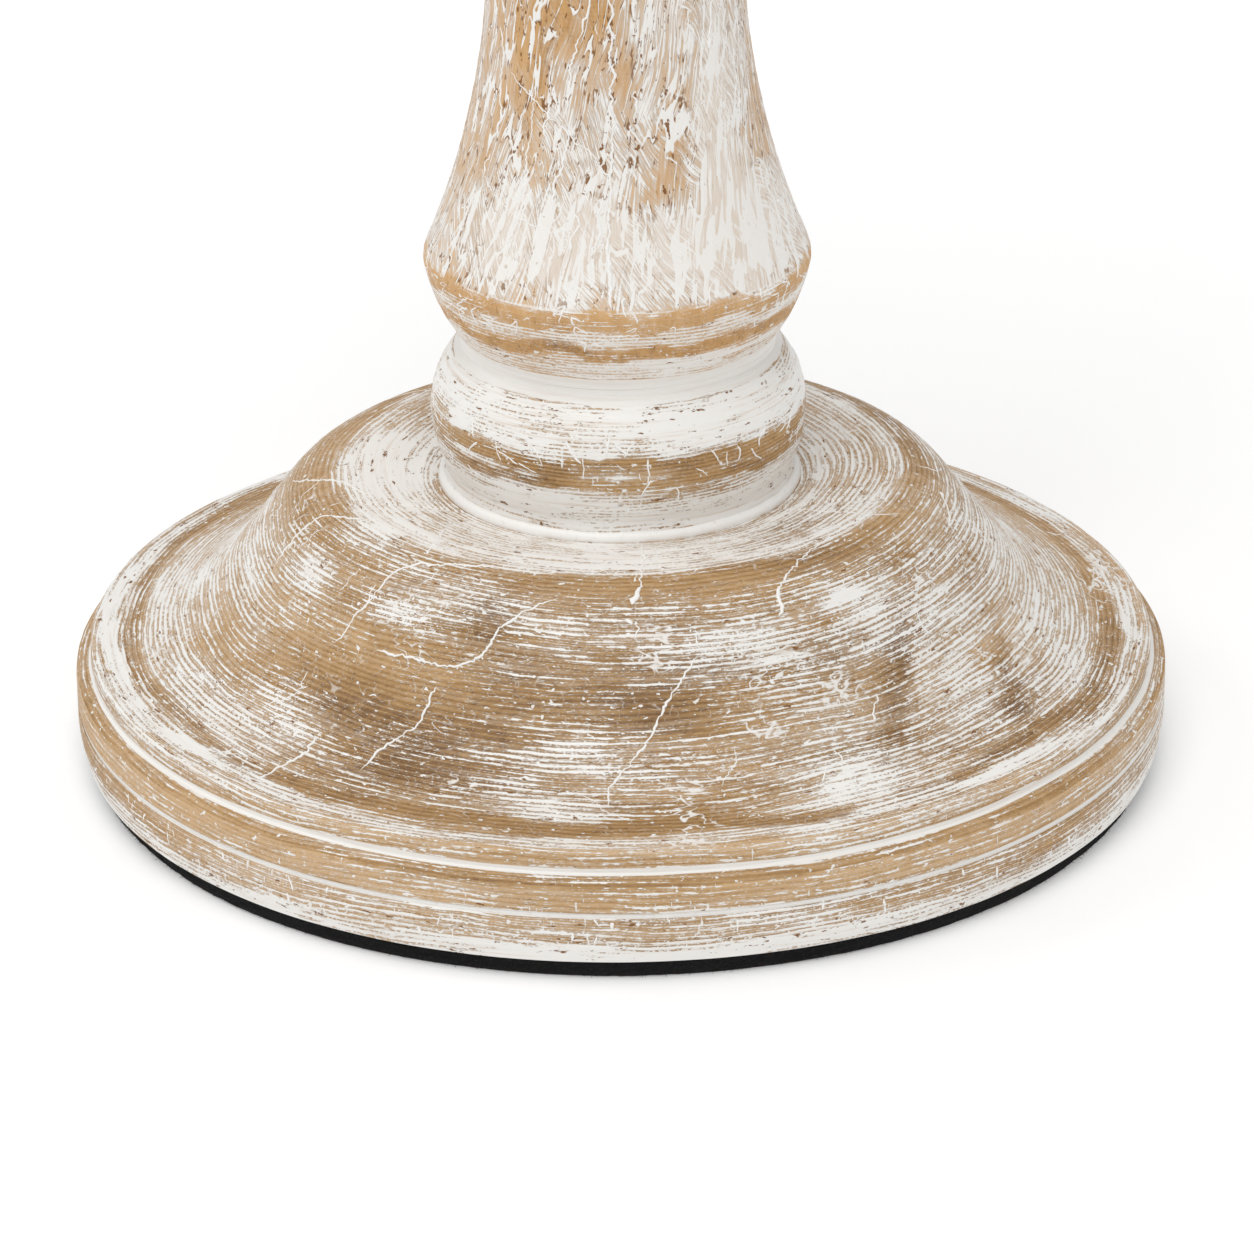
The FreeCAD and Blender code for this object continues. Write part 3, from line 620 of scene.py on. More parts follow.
@dataclass
class Outline:
    """The turned outline of a piece: points of radius, height and row spacing, some named."""

    points: list[tuple[float, float, float]] = field(default_factory=list)
    names: dict[str, int] = field(default_factory=dict)
    crisp: list[int] = field(default_factory=list)

    def start(self, radius: float, height: float) -> "Outline":
        """Sets the first point."""
        self.points = [(radius, height, 1.0)]
        return self

    def line(self, radius: float, height: float, step: float = 0.45) -> "Outline":
        """Goes straight to a point.

        Args:
            radius: the point's distance from the axis.
            height: its height.
            step: spacing of the mesh's rows on the way.

        Returns:
            This outline.
        """
        r0, z0, _ = self.points[-1]
        count = max(1, round(math.hypot(radius - r0, height - z0) / POINT_GAP))
        for i in range(1, count + 1):
            share = i / count
            self.points.append((r0 + (radius - r0) * share, z0 + (height - z0) * share, step))
        return self

    def arc(
        self, radius: float, height: float, bend: float, swing: Swing, step: float = 0.45
    ) -> "Outline":
        """Goes to a point along an arc.

        Args:
            radius: the point's distance from the axis.
            height: its height.
            bend: the arc's own radius.
            swing: which way it bends.
            step: spacing of the mesh's rows on the way.

        Returns:
            This outline.
        """
        r0, z0, _ = self.points[-1]
        dr, dz = radius - r0, height - z0
        chord = math.hypot(dr, dz)
        off = swing.value * math.sqrt(max(bend**2 - chord**2 / 4, 0.0))
        cr, cz = (r0 + radius) / 2 - dz / chord * off, (z0 + height) / 2 + dr / chord * off
        first = math.atan2(z0 - cz, r0 - cr)
        sweep = (math.atan2(height - cz, radius - cr) - first + math.pi) % (2 * math.pi) - math.pi
        count = max(2, round(abs(sweep) * bend / POINT_GAP))
        for i in range(1, count + 1):
            angle = first + sweep * i / count
            self.points.append((cr + bend * math.cos(angle), cz + bend * math.sin(angle), step))
        return self

    def name(self, word: str) -> "Outline":
        """Names the point reached."""
        self.names[word] = len(self.points) - 1
        return self

    def keep(self) -> "Outline":
        """Leaves the corner reached unworn, because a neighbour butts against it."""
        self.crisp.append(len(self.points) - 1)
        return self

    def track(self) -> np.ndarray:
        """Every point of the outline.

        Returns:
            One row each of radius, height, row spacing and run.
        """
        table = np.array(self.points)
        gaps = np.hypot(*np.diff(table[:, :2], axis=0).T)
        return np.column_stack([table, np.concatenate([[0.0], np.cumsum(gaps)])])

    def runs_of(self, words: str) -> list[float]:
        """Millimetres along the outline to some named points."""
        track = self.track()
        return [float(track[self.names[word], 3]) for word in words.split()]

    def rows(self, soften: float) -> np.ndarray:
        """The mesh's rows.

        Args:
            soften: how far corners are worn, in millimetres.

        Returns:
            One row each of radius, height, run and the outward direction's two parts.
        """
        track = self.track()
        run = track[:, 3]
        need = np.concatenate([[0.0], np.cumsum(np.diff(run) / track[1:, 2])])
        radius, height = self._worn(track, soften)
        slope_r, slope_z = np.gradient(radius, run), np.gradient(height, run)
        turn = np.abs(np.gradient(np.unwrap(np.arctan2(slope_z, slope_r))))
        need = need + np.cumsum(turn) * CORNER_ROWS
        at = np.linspace(0.0, need[-1], int(need[-1]) + 2)
        size = np.hypot(slope_r, slope_z)
        columns = [radius, height, run, slope_z / size, -slope_r / size]
        return np.column_stack([np.interp(at, need, column) for column in columns])

    def _worn(self, track: np.ndarray, soften: float) -> list[np.ndarray]:
        """Rounds corners by a running average.

        Args:
            track: the outline's points.
            soften: how far corners are worn, in millimetres.

        Returns:
            Radius and height.
        """
        half = max(1, round(soften / POINT_GAP))
        weights = np.hanning(2 * half + 3)[1:-1]
        weights /= weights.sum()
        worn = np.ones(len(track)) * (soften > 0)
        for at in track[[*self.crisp, 0, -1], 3]:
            worn *= np.clip(np.abs(track[:, 3] - at) / (soften * 2 + TINY), 0, 1)
        found = []
        for line in track[:, :2].T:
            padded = np.pad(line, half, "edge")
            found.append(line + (np.convolve(padded, weights, "valid") - line) * worn)
        return found


@dataclass(frozen=True)
class Mottle:
    """Seeded smooth noise over a turned skin, with no seam round the axis."""

    seed: int
    cells_round: int
    cell_run: float
    octaves: int = 3
    slant: float = 0.0
    longest: float = 400.0

    def at(self, turn: np.ndarray, run: np.ndarray) -> np.ndarray:
        """The noise at some places.

        Args:
            turn: degrees round the axis.
            run: millimetres along the outline.

        Returns:
            Numbers around 0, mostly from -1 to 1.
        """
        rng = np.random.default_rng(self.seed)
        total = np.zeros(np.broadcast(turn, run).shape)
        for octave in range(self.octaves):
            cells, cell = self.cells_round * 2**octave, self.cell_run / 2**octave
            rows = int(self.longest / cell) + 3
            lattice = rng.uniform(-1, 1, (cells, rows))
            u = ((turn + run * self.slant) / 360.0 % 1.0) * cells
            v = np.clip(run / cell, 0, rows - 2.001)
            iu, iv = np.floor(u).astype(int), np.floor(v).astype(int)
            fu, fv = ((f * f * (3 - 2 * f)) for f in (u - iu, v - iv))
            left, right = iu % cells, (iu + 1) % cells
            low, high = (lattice[left, i] * (1 - fu) + lattice[right, i] * fu for i in (iv, iv + 1))
            total += 0.5**octave * (low * (1 - fv) + high * fv)
        return total


@dataclass(frozen=True)
class Belt:
    """A band that goes all round a turned skin between two runs."""

    low: float
    high: float
    cover: float = 0.0
    tone: float = 0.0
    fill: float = 0.0
    soft: float = 0.4
    ragged: float = 0.0
    seed: int = 1

    def share(self, turn: np.ndarray, run: np.ndarray) -> np.ndarray:
        """How much of the band there is at some places, from 0 to 1.

        Args:
            turn: degrees round the axis.
            run: millimetres along the outline.

        Returns:
            The shares.
        """
        shift = Mottle(self.seed, 26, 60.0).at(turn, run * 0) * self.ragged if self.ragged else 0.0
        inside = np.minimum(run - (self.low + shift), (self.high + shift) - run)
        return np.clip(inside / self.soft + 0.5, 0, 1)


@dataclass(frozen=True)
class Patch:
    """A patch where paint lies thicker or thinner, or the wood is darker."""

    turn: float
    run: float
    wide: float
    tall: float
    cover: float = 0.0
    tone: float = 0.0
    lean: float = 0.0

    def share(self, turn: np.ndarray, run: np.ndarray, radius: np.ndarray) -> np.ndarray:
        """How much of the patch there is at some places, from 0 to 1.

        Args:
            turn: degrees round the axis.
            run: millimetres along the outline.
            radius: distance from the axis.

        Returns:
            The shares.
        """
        up = run - self.run
        across = np.radians((turn - self.turn + 180) % 360 - 180) * radius - up * self.lean
        return np.exp(-((across / self.wide) ** 2) - (up / self.tall) ** 2)


@dataclass(frozen=True)
class Run:
    """A raised run of paint: its width, the drop at its head and a path of places."""

    width: float
    drop: float
    path: tuple[tuple[float, float], ...]
    stray: float = 0.30
    cap: float = 0.24

    @classmethod
    def ring(cls, run: float, width: float) -> "Run":
        """An even run that goes all the way round."""
        return cls(width, 0.0, tuple((90.0 + turn, run) for turn in range(0, 363, 6)), 0.02, 0.5)


# ----------------------------------------------------------------- mesh makers


def hang(name: str, data: bpy.types.ID) -> bpy.types.Object:
    """Links a new object that shows some data.

    Args:
        name: the object's name.
        data: its mesh, lamp or camera.

    Returns:
        The object.
    """
    body = bpy.data.objects.new(name, data)
    bpy.context.scene.collection.objects.link(body)
    return body


def shape(name: str, points: np.ndarray, faces: list[list[int]]) -> bpy.types.Object:
    """Makes a mesh and an object that shows it.

    Args:
        name: the name of both.
        points: its points in millimetres.
        faces: the places of each face's points.

    Returns:
        The linked object.
    """
    mesh = bpy.data.meshes.new(name)
    mesh.from_pydata((points * MM).tolist(), [], faces)
    return hang(name, mesh)


def smooth(mesh: bpy.types.Mesh, sharp: float = 38.0) -> None:
    """Turns a mesh's faces outwards and shades it smooth.

    Args:
        mesh: the mesh.
        sharp: the angle in degrees from which an edge stays sharp.
    """
    work = bmesh.new()
    work.from_mesh(mesh)
    bmesh.ops.recalc_face_normals(work, faces=work.faces)
    work.to_mesh(mesh)
    work.free()
    mesh.shade_smooth()
    mesh.set_sharp_from_angle(angle=math.radians(sharp))


@dataclass
class Skin:
    """A turned skin: an outline carried round the axis, with relief and paint marks."""

    name: str
    outline: Outline
    turns: int
    seen: float
    hidden: float = -1.0
    soften: float = 0.22
    cover: float = 0.5
    tone: float = 0.45
    belts: list[Belt] = field(default_factory=list)
    patches: list[Patch] = field(default_factory=list)
    mottles: list[tuple[Mottle, float, float]] = field(default_factory=list)
    ring_depth: float = 0.025
    ring_gap: float = 2.1
    warp: float = 0.07
    beads: float = 0.02
    dips: list[tuple[float, float, float]] = field(default_factory=list)
    seam: float | None = None
    seam_wide: float = 0.38
    seam_deep: float = 0.16
    upright: tuple[float, float] = (FAR, FAR)
    seed: int = 3
    limit: float = FAR

    def relief(self, turn: np.ndarray, run: np.ndarray, radius: np.ndarray) -> np.ndarray:
        """How far the skin stands out from its outline.

        Args:
            turn: degrees round the axis.
            run: millimetres along the outline.
            radius: distance from the axis.

        Returns:
            Millimetres along the outward direction.
        """
        wander = Mottle(self.seed, 5, 30.0, 2).at(turn, run)
        rings = np.sin(2 * math.pi * (run / self.ring_gap + wander * 0.35))
        swell = Mottle(self.seed + 1, 7, 16.0).at(turn, run)
        paint = Mottle(self.seed + 2, 60, 3.0, 2).at(turn, run)
        out = rings * self.ring_depth + (swell - 0.9) * self.warp + paint * self.beads
        for at, wide, deep in self.dips:
            bite = np.clip(Mottle(self.seed + 5, 34, 60.0).at(turn, run * 0 + at), 0, 1)
            out -= deep * (0.35 + bite) * np.exp(-(((run - at) / wide) ** 2))
        if self.seam is not None:
            off = np.abs(radius * np.sin(np.radians(turn)) - self.seam)
            out -= self.seam_deep * np.exp(-((off / self.seam_wide) ** 2))
        return out * np.clip(np.minimum(self.seen - run, run - self.hidden) / FADE, 0, 1)

    def marks(self, turn: np.ndarray, run: np.ndarray, radius: np.ndarray) -> dict[str, np.ndarray]:
        """The numbers the finish reads, at some places.

        Args:
            turn: degrees round the axis.
            run: millimetres along the outline.
            radius: distance from the axis.

        Returns:
            run, cover, tone, fill and upright.
        """
        shape_of = np.broadcast(turn, run).shape
        cover, tone = np.full(shape_of, self.cover), np.full(shape_of, self.tone)
        fill = np.zeros(shape_of)
        for mottle, on_cover, on_tone in self.mottles:
            noise = mottle.at(turn, run)
            cover += noise * on_cover
            tone += noise * on_tone
        marked = [(patch, patch.share(turn, run, radius)) for patch in self.patches]
        marked += [(belt, belt.share(turn, run)) for belt in self.belts]
        for mark, share in marked:
            cover += share * mark.cover
            tone += share * mark.tone
            fill = np.maximum(fill, share * getattr(mark, "fill", 0.0))
        low, high = self.upright
        upright = np.clip(np.minimum(run - low, high - run) / FADE + 0.5, 0, 1) + 0 * turn
        found = {"run": run + 0 * turn, "cover": cover, "tone": np.clip(tone, 0, 1)}
        return found | {"fill": fill, "upright": upright}

    def build(self) -> bpy.types.Object:
        """Makes the skin's mesh.

        Returns:
            A linked object with the marks on its points.
        """
        rows = self.outline.rows(self.soften)
        turn = np.linspace(0, 360, self.turns, endpoint=False)[None, :]
        radius, height, run, out_r, out_z = (column[:, None] for column in rows.T)
        lift = self.relief(turn, run, radius)
        r = np.minimum(radius + out_r * lift, self.limit)
        angle = np.radians(turn)
        points = np.stack([r * np.cos(angle), r * np.sin(angle), height + out_z * lift], -1)
        closed = np.hypot(*(rows[0, :2] - rows[-1, :2])) < ON_AXIS
        used = len(rows) - closed
        base = np.arange(used * self.turns).reshape(used, self.turns)
        low, high = base[: len(rows) - 1], np.roll(base, -1, 0)[: len(rows) - 1]
        quads = np.stack([low, np.roll(low, -1, 1), np.roll(high, -1, 1), high], -1).reshape(-1, 4)
        body = shape(self.name, points[:used].reshape(-1, 3), quads.tolist())
        for word, values in self.marks(turn, run, radius).items():
            layer = body.data.attributes.new(word, "FLOAT", "POINT")
            layer.data.foreach_set("value", values[:used].astype(np.float32).ravel())
        if rows[0, 0] < ON_AXIS or rows[-1, 0] < ON_AXIS:
            self._close_poles(body.data)
        smooth(body.data)
        return body

    @staticmethod
    def _close_poles(mesh: bpy.types.Mesh) -> None:
        """Joins the points that lie on the axis.

        Args:
            mesh: the skin's mesh.
        """
        work = bmesh.new()
        work.from_mesh(mesh)
        near = [v for v in work.verts if math.hypot(v.co.x, v.co.y) < 1e-7]
        bmesh.ops.remove_doubles(work, verts=near, dist=1e-7)
        work.to_mesh(mesh)
        work.free()

    def lay(self, turn: np.ndarray, run: np.ndarray) -> tuple[np.ndarray, np.ndarray]:
        """Points on the skin and the directions out of it.

        Args:
            turn: degrees round the axis, one for each point.
            run: millimetres along the outline, one for each point.

        Returns:
            Points in millimetres and unit directions.
        """
        rows = self.outline.rows(self.soften)
        radius, height, nr, nz = (np.interp(run, rows[:, 2], rows[:, i]) for i in (0, 1, 3, 4))
        size = np.hypot(nr, nz)
        nr, nz = nr / size, nz / size
        lift = self.relief(turn, run, radius)
        cos, sin = np.cos(np.radians(turn)), np.sin(np.radians(turn))
        r, z = radius + nr * lift, height + nz * lift
        return np.stack([r * cos, r * sin, z], -1), np.stack([nr * cos, nr * sin, nz], -1)


@dataclass
class PaintRuns:
    """Raised runs of paint laid on a skin, as one mesh of flattened, tapered cords."""

    name: str
    skin: Skin
    runs: list[Run]
    height: float = 0.34
    seed: int = 11
    around: int = 8
    thinnest: float = 0.04
    tips: float = 0.12  # share of a run that tapers at each end

    def build(self) -> bpy.types.Object:
        """Makes the mesh.

        Returns:
            A linked object.
        """
        rng = np.random.default_rng(self.seed)
        points, faces = [], []
        for run in self.runs:
            self._lay(run, rng, points, faces)
        flat = np.concatenate(points)
        reach = np.hypot(flat[:, 0], flat[:, 1])
        flat[:, :2] *= np.minimum(1.0, self.skin.limit / np.maximum(reach, TINY))[:, None]
        body = shape(self.name, flat, faces)
        smooth(body.data, 80.0)
        return body

    def _lay(
        self, run: Run, rng: np.random.Generator, points: list[np.ndarray], faces: list[list[int]]
    ) -> None:
        """Adds one run's cord.

        Args:
            run: the run.
            rng: the seeded source of its wander.
            points: the mesh's points so far, in groups.
            faces: the mesh's faces so far.
        """
        path = self._path(run)
        count = len(path)
        wave = np.cumsum(rng.normal(0, 0.35, count)) + rng.uniform(-0.4, 0.4, count)
        wave -= np.convolve(np.pad(wave, 8, "edge"), np.ones(17) / 17, "valid")
        centre, out = self.skin.lay(path[:, 0], path[:, 1])
        tangent = np.gradient(centre, axis=0)
        tangent /= np.linalg.norm(tangent, axis=1)[:, None] + TINY
        side = np.cross(out, tangent)
        centre = centre + side * (wave * run.stray)[:, None]
        share = np.linspace(0, 1, count)
        taper = np.clip(np.minimum(share, 1 - share) / self.tips, 0, 1) ** 0.5
        beads = np.convolve(rng.uniform(0, 1, count + 8), np.hanning(7) / 3.0, "valid")[:count]
        beads = 0.5 + (beads - 0.5) * min(1.0, run.stray / 0.15)
        width = run.width * (0.10 + 0.66 * beads) + run.drop * np.exp(-((share / 0.10) ** 2))
        width = np.maximum(width * taper, self.thinnest)
        tall = np.minimum(width * self.height, run.cap)
        n = self.around
        angle = np.linspace(0, 2 * math.pi, n, endpoint=False)
        across = side[:, None, :] * (width[:, None] / 2 * np.cos(angle))[..., None]
        lift = out[:, None, :] * (tall[:, None] * np.sin(angle))[..., None]
        start = sum(len(group) for group in points)
        points.append((centre[:, None, :] + across + lift).reshape(-1, 3))
        for a in range(start, start + (count - 1) * n, n):
            faces += [[a + j, a + (j + 1) % n, a + n + (j + 1) % n, a + n + j] for j in range(n)]
        faces.append([start + j for j in reversed(range(n))])
        faces.append([start + (count - 1) * n + j for j in range(n)])

    def _path(self, run: Run, gap: float = 0.35) -> np.ndarray:
        """A run's path as closely spaced places on a smooth line.

        Args:
            run: the run.
            gap: their spacing in millimetres.

        Returns:
            One row each of turn and run.
        """
        knots = np.array(run.path, float)
        knots = np.vstack([2 * knots[0] - knots[1], knots, 2 * knots[-1] - knots[-2]])
        pieces = []
        for a, b, c, d in zip(knots, knots[1:], knots[2:], knots[3:]):
            ends = self.skin.lay(*np.stack([b, c], 1))[0]
            steps = max(2, int(np.linalg.norm(ends[1] - ends[0]) / gap))
            t = np.linspace(0, 1, steps, endpoint=False)[:, None]
            bent = (2 * a - 5 * b + 4 * c - d) * t**2 + (3 * b - a - 3 * c + d) * t**3
            pieces.append(0.5 * (2 * b + (c - a) * t + bent))
        return np.vstack(pieces + [knots[-2:-1]])


def level(node: str, top: bool = False) -> float:
    """Height in millimetres of a CAD node's lowest point, or of its highest."""
    return round(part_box(node)[int(top)][2] / MM, 2)


def reach(node: str) -> float:
    """How far in millimetres a CAD node reaches along +X."""
    return round(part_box(node)[1][0] / MM, 1)


def dress(body: bpy.types.Object, finish: bpy.types.Material) -> None:
    """Gives an object one material."""
    body.data.materials.clear()
    body.data.materials.append(finish)


def mount(body: bpy.types.Object, finish: bpy.types.Material, slot: str, *nodes: str) -> None:
    """Dresses a piece and hangs it on the frame.

    Args:
        body: the piece.
        finish: its material.
        slot: a material slot's name, which is not used.
        nodes: the CAD nodes it stands for.
    """
    LOG.info("%s: %d faces", body.name, len(body.data.polygons))
    dress(body, finish)
    if nodes:
        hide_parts(*nodes)
    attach(body, BODY)


# ---------------------------------------------------------------- sub-assemblies


class Turned:
    """What the painted turnings share: a skin, and raised runs of paint on it."""

    node: ClassVar[str]
    places: ClassVar[str]  # the named places that runs needs
    wander: ClassVar[int] = 11  # seed of the runs' wander

    def skin(self) -> Skin:
        """The piece's turned skin."""
        raise NotImplementedError

    def runs(self, *places: float) -> list[Run]:
        """The raised runs of paint."""
        raise NotImplementedError

    def build_wood(self, skin: Skin, *washes: bpy.types.Material) -> None:
        """Builds the wood in one piece with one finish."""
        mount(skin.build(), washes[0], WOOD_SLOT, self.node)

    def build(self, paint: bpy.types.Material, *washes: bpy.types.Material) -> None:
        """Builds the wood and its paint runs.

        Args:
            paint: finish of the raised runs.
            washes: finishes of the wood, one for each board.
        """
        skin = self.skin()
        self.build_wood(skin, *washes)
        runs = self.runs(*skin.outline.runs_of(self.places))
        body = PaintRuns(f"{skin.name}_paint_runs", skin, runs, seed=self.wander).build()
        mount(body, paint, WOOD_SLOT)


@dataclass
class TurnedBase(Turned):
    """The broad base: two glued boards turned as one, with paint runs on them."""

    radius: float
    foot: float
    seat: float
    seam: float
    turns: int = 820
    strays: int = 70
    places: ClassVar[str] = "line"

    def outline(self) -> Outline:
        """The base's outline, from its lower outer edge round to its underside.

        Returns:
            The outline.
        """
        full, hollow = Swing.FULL, Swing.HOLLOW
        path = Outline().start(74.3, self.foot)
        path.arc(self.radius, 9.3, 17.0, full)
        path.line(74.6, 9.75, 0.25).name("line").line(self.radius, 10.2, 0.25)
        path.line(self.radius, 14.0).name("arris").line(73.1, 15.0, 0.35).name("quirk")
        path.line(73.1, 17.1).name("fillet").arc(72.4, 17.8, 0.7, full, 0.3).name("field")
        path.arc(53.49, 27.13, 23.82, hollow).line(46.31, 36.5).name("slope")
        path.arc(37.0, 41.1, 11.73, full).name("crown")
        path.arc(25.0, self.seat, 56.03, full).name("neck")
        path.line(11.1, self.seat, 3.0).line(11.1, 18.1, 6.0).line(2.8, 18.1, 4.0)
        path.line(2.8, 11.8, 4.0).line(11.5, 11.8, 4.0).line(11.5, self.foot, 4.0)
        return path.line(74.3, self.foot, 8.0)

    def skin(self) -> Skin:
        """The base's turned skin with its belts and patches.

        Returns:
            The skin.
        """
        path = self.outline()
        line, arris, quirk, fillet, rim = path.runs_of("line arris quirk fillet field")
        slope, crown, neck = path.runs_of("slope crown neck")
        belts = (
            (-2, 3, 0.26, 0, 0, 2, 0.8, 21), (3, line - 0.6, 0.02, -0.05, 0, 1.2, 0.6, 22),
            (line - 0.55, line + 0.45, 0, 0, 1, 0.3),
            (line + 0.6, arris - 0.2, -0.02, -0.3, 0, 0.8, 0.3, 23),
            (arris - 0.25, arris + 0.45, -0.3, 0.12, 0, 0.4, 0.25, 24),
            (quirk - 0.55, quirk + 0.55, 0, 0, 1, 0.5, 0.2, 25),
            (quirk + 0.6, fillet, 0.05, -0.22, 0, 0.6),
            (fillet, rim + 0.5, 0.12, -0.3, 0, 0.5, 0.3, 26),
            (rim + 0.5, rim + 2.9, 0.27, 0, 0, 0.7, 1.3, 27),
            (rim + 3.6, rim + 6, -0.24, 0.18, 0, 1.2, 1.1, 28),
            (slope + 5.5, crown - 2, -0.2, 0.06, 0, 2, 1, 29),
            (crown - 1.5, neck + 2, 0.22, -0.12, 0, 2.5, 1, 30),
            (neck - 1.6, neck + 4, -0.12, 0.1, 0, 1, 0.8, 31),
        )
        patches = (
            (-49.6, 51, 8, 4, 0.22, -0.1), (-112, 52, 5, 3.5, -0.14, 0.3),
            (-118, 30, 12, 4, -0.22, 0.34), (-95, 34, 9, 3, 0.22), (-62, 26, 7, 3, 0.24),
            (-140, 31, 9, 4, 0.18), (-128, 50, 6, 2.4, 0.26),
            (-48, 38, 3.6, 9, -0.22, 0.42, 0.75), (-30, 31, 3.6, 7.5, -0.2, 0.34, 1.1),
            (-40, 34, 9, 9, 0.16), (-60, 34, 10, 10, 0.14, 0.05), (-72, 47.5, 9, 3.4, 0.26),
            (-98, 26, 10, 3.2, 0.36, 0, -1), (-106, 38, 11, 7, -0.18, 0.18),
            (-84, 40.5, 8, 6, -0.2, 0.25), (-135, 40, 12, 6, -0.22, 0.1), (-150, 50, 5, 3, 0.34),
            (-148, 27, 16, 5, 0.16), (-146, 59, 9, 3.2, 0.5), (-185, 36, 26, 24, 0.1, -0.2),
            (-128, 38, 7, 6, -0.16, 0.08), (5, 36, 22, 22, 0.08, -0.2), (-20, 24, 10, 3, 0.36),
            (-15, 60, 14, 8, -0.14, -0.18), (-90, 57, 26, 4, -0.16, -0.06),
            (-45, 66, 10, 4, -0.12, 0.3),
        )
        return Skin(
            "base",
            path,
            self.turns,
            seen=neck + 0.5,
            cover=0.43,
            tone=0.42,
            belts=[Belt(*row) for row in belts],
            patches=[Patch(*row) for row in patches],
            mottles=[
                (Mottle(41, 11, 11.0, 3, 0.9), 0.16, 0.0),
                (Mottle(42, 9, 9.0, 3, 1.2), 0.0, 0.20),
                (Mottle(43, 70, 2.0, 2), 0.06, 0.0),
            ],
            dips=[(arris, 0.55, 0.22), (fillet + 0.5, 0.5, 0.10), (slope + 6.0, 2.0, 0.06)],
            seam=self.seam,
            limit=self.radius,
        )

    def runs(self, ring: float) -> list[Run]:
        """The raised runs: a ring, listed long ones, then seeded strays and ticks.

        Args:
            ring: where the ring of paint is.

        Returns:
            The runs.
        """
        placed = (
            (0.7, 0, (-162.6, 63.6), (-170.9, 61), (-177.5, 56), (-182.4, 53)),
            (0.7, 0, (-162, 46.6), (-161.5, 52.4), (-160, 56), (-156, 58), (-150, 60.3)),
            (0.75, 0, (-137.5, 43), (-135.6, 48), (-134, 52), (-133, 55), (-127, 58),
             (-114, 60.3)),
            (1, 0, (-133, 20), (-132.7, 24), (-131.6, 27.1), (-131.8, 30.5)),
            (0.7, 0, (-123, 27.8), (-121.7, 32.2), (-118.6, 36.2), (-118, 39.4), (-117.5, 41.6)),
            (0.8, 0, (-129.6, 44), (-122, 44.6), (-116.4, 44.4), (-112, 46.6), (-109.8, 50.2),
             (-106.5, 53.1), (-101, 56)),
            (0.55, 1.6, (-88, 55), (-86.6, 57.6), (-85, 65), (-83.4, 73)),
            (0.7, 0, (-91.7, 27), (-91, 30.7), (-86.5, 36.5), (-84.5, 40), (-81.8, 43.7),
             (-78, 47.5)),
            (0.6, 0.9, (-63.5, 51), (-62.3, 52.6), (-61.7, 54.5), (-57, 57.4), (-46, 60.3),
             (-31, 60.9), (-24, 57.4)),
            (0.6, 0, (-29.5, 60.3), (-31, 64), (-31.7, 66.8), (-32.8, 71)),
            (0.6, 0.8, (-7.5, 54.5), (-12, 52), (-15, 51)),
        )
        found = [Run.ring(ring, 2.1)]
        found += [Run(width, drop, tuple(path)) for width, drop, *path in placed]
        rng = np.random.default_rng(77)
        for _ in range(self.strays):
            turn, run = rng.uniform(0, 360), rng.uniform(20, 70)
            long, lean = rng.uniform(1.5, 6.0), rng.uniform(-1.2, 1.2)
            path = []
            for share in (i / 3 for i in range(4)):
                across = turn + lean * long * share + rng.normal(0, 0.35)
                path.append((across, min(run + long * share, 72.5)))
            found.append(Run(rng.uniform(0.25, 0.5), rng.choice([0.0, 0.0, 0.6]), tuple(path)))
        for _ in range(self.strays):
            turn, run = rng.uniform(0, 360), rng.uniform(2.0, 6.0)
            tall = rng.uniform(0.6, 2.2)
            path = ((turn, run), (turn + rng.normal(0, 0.2), run + tall))
            found.append(Run(rng.uniform(0.5, 0.9), 0.0, path, 0.1))
        return found

    def build_wood(self, skin: Skin, *washes: bpy.types.Material) -> None:
        """Builds the front board and the rear one.

        Args:
            skin: the whole base's skin.
            washes: the two boards' finishes.
        """
        blank = skin.build()
        for side, wash in zip(("front", "rear"), washes):
            mount(self._board(blank, side), wash, WOOD_SLOT, f"base_board_{side}")
        bpy.data.objects.remove(blank)

    def _board(self, blank: bpy.types.Object, side: str) -> bpy.types.Object:
        """Cuts one board from the turned blank at the glued seam.

        Args:
            blank: the whole base.
            side: front or rear.

        Returns:
            The board.
        """
        work = bmesh.new()
        work.from_mesh(blank.data)
        cut = bmesh.ops.bisect_plane(
            work,
            geom=[*work.verts, *work.edges, *work.faces],
            plane_co=(0, self.seam * MM, 0),
            plane_no=(0, 1, 0),
            clear_outer=side == "front",
            clear_inner=side == "rear",
        )
        edges = [e for e in cut["geom_cut"] if isinstance(e, bmesh.types.BMEdge)]
        bmesh.ops.holes_fill(work, edges=edges, sides=0)
        mesh = bpy.data.meshes.new(f"base_{side}")
        work.to_mesh(mesh)
        work.free()
        smooth(mesh)
        return hang(mesh.name, mesh)


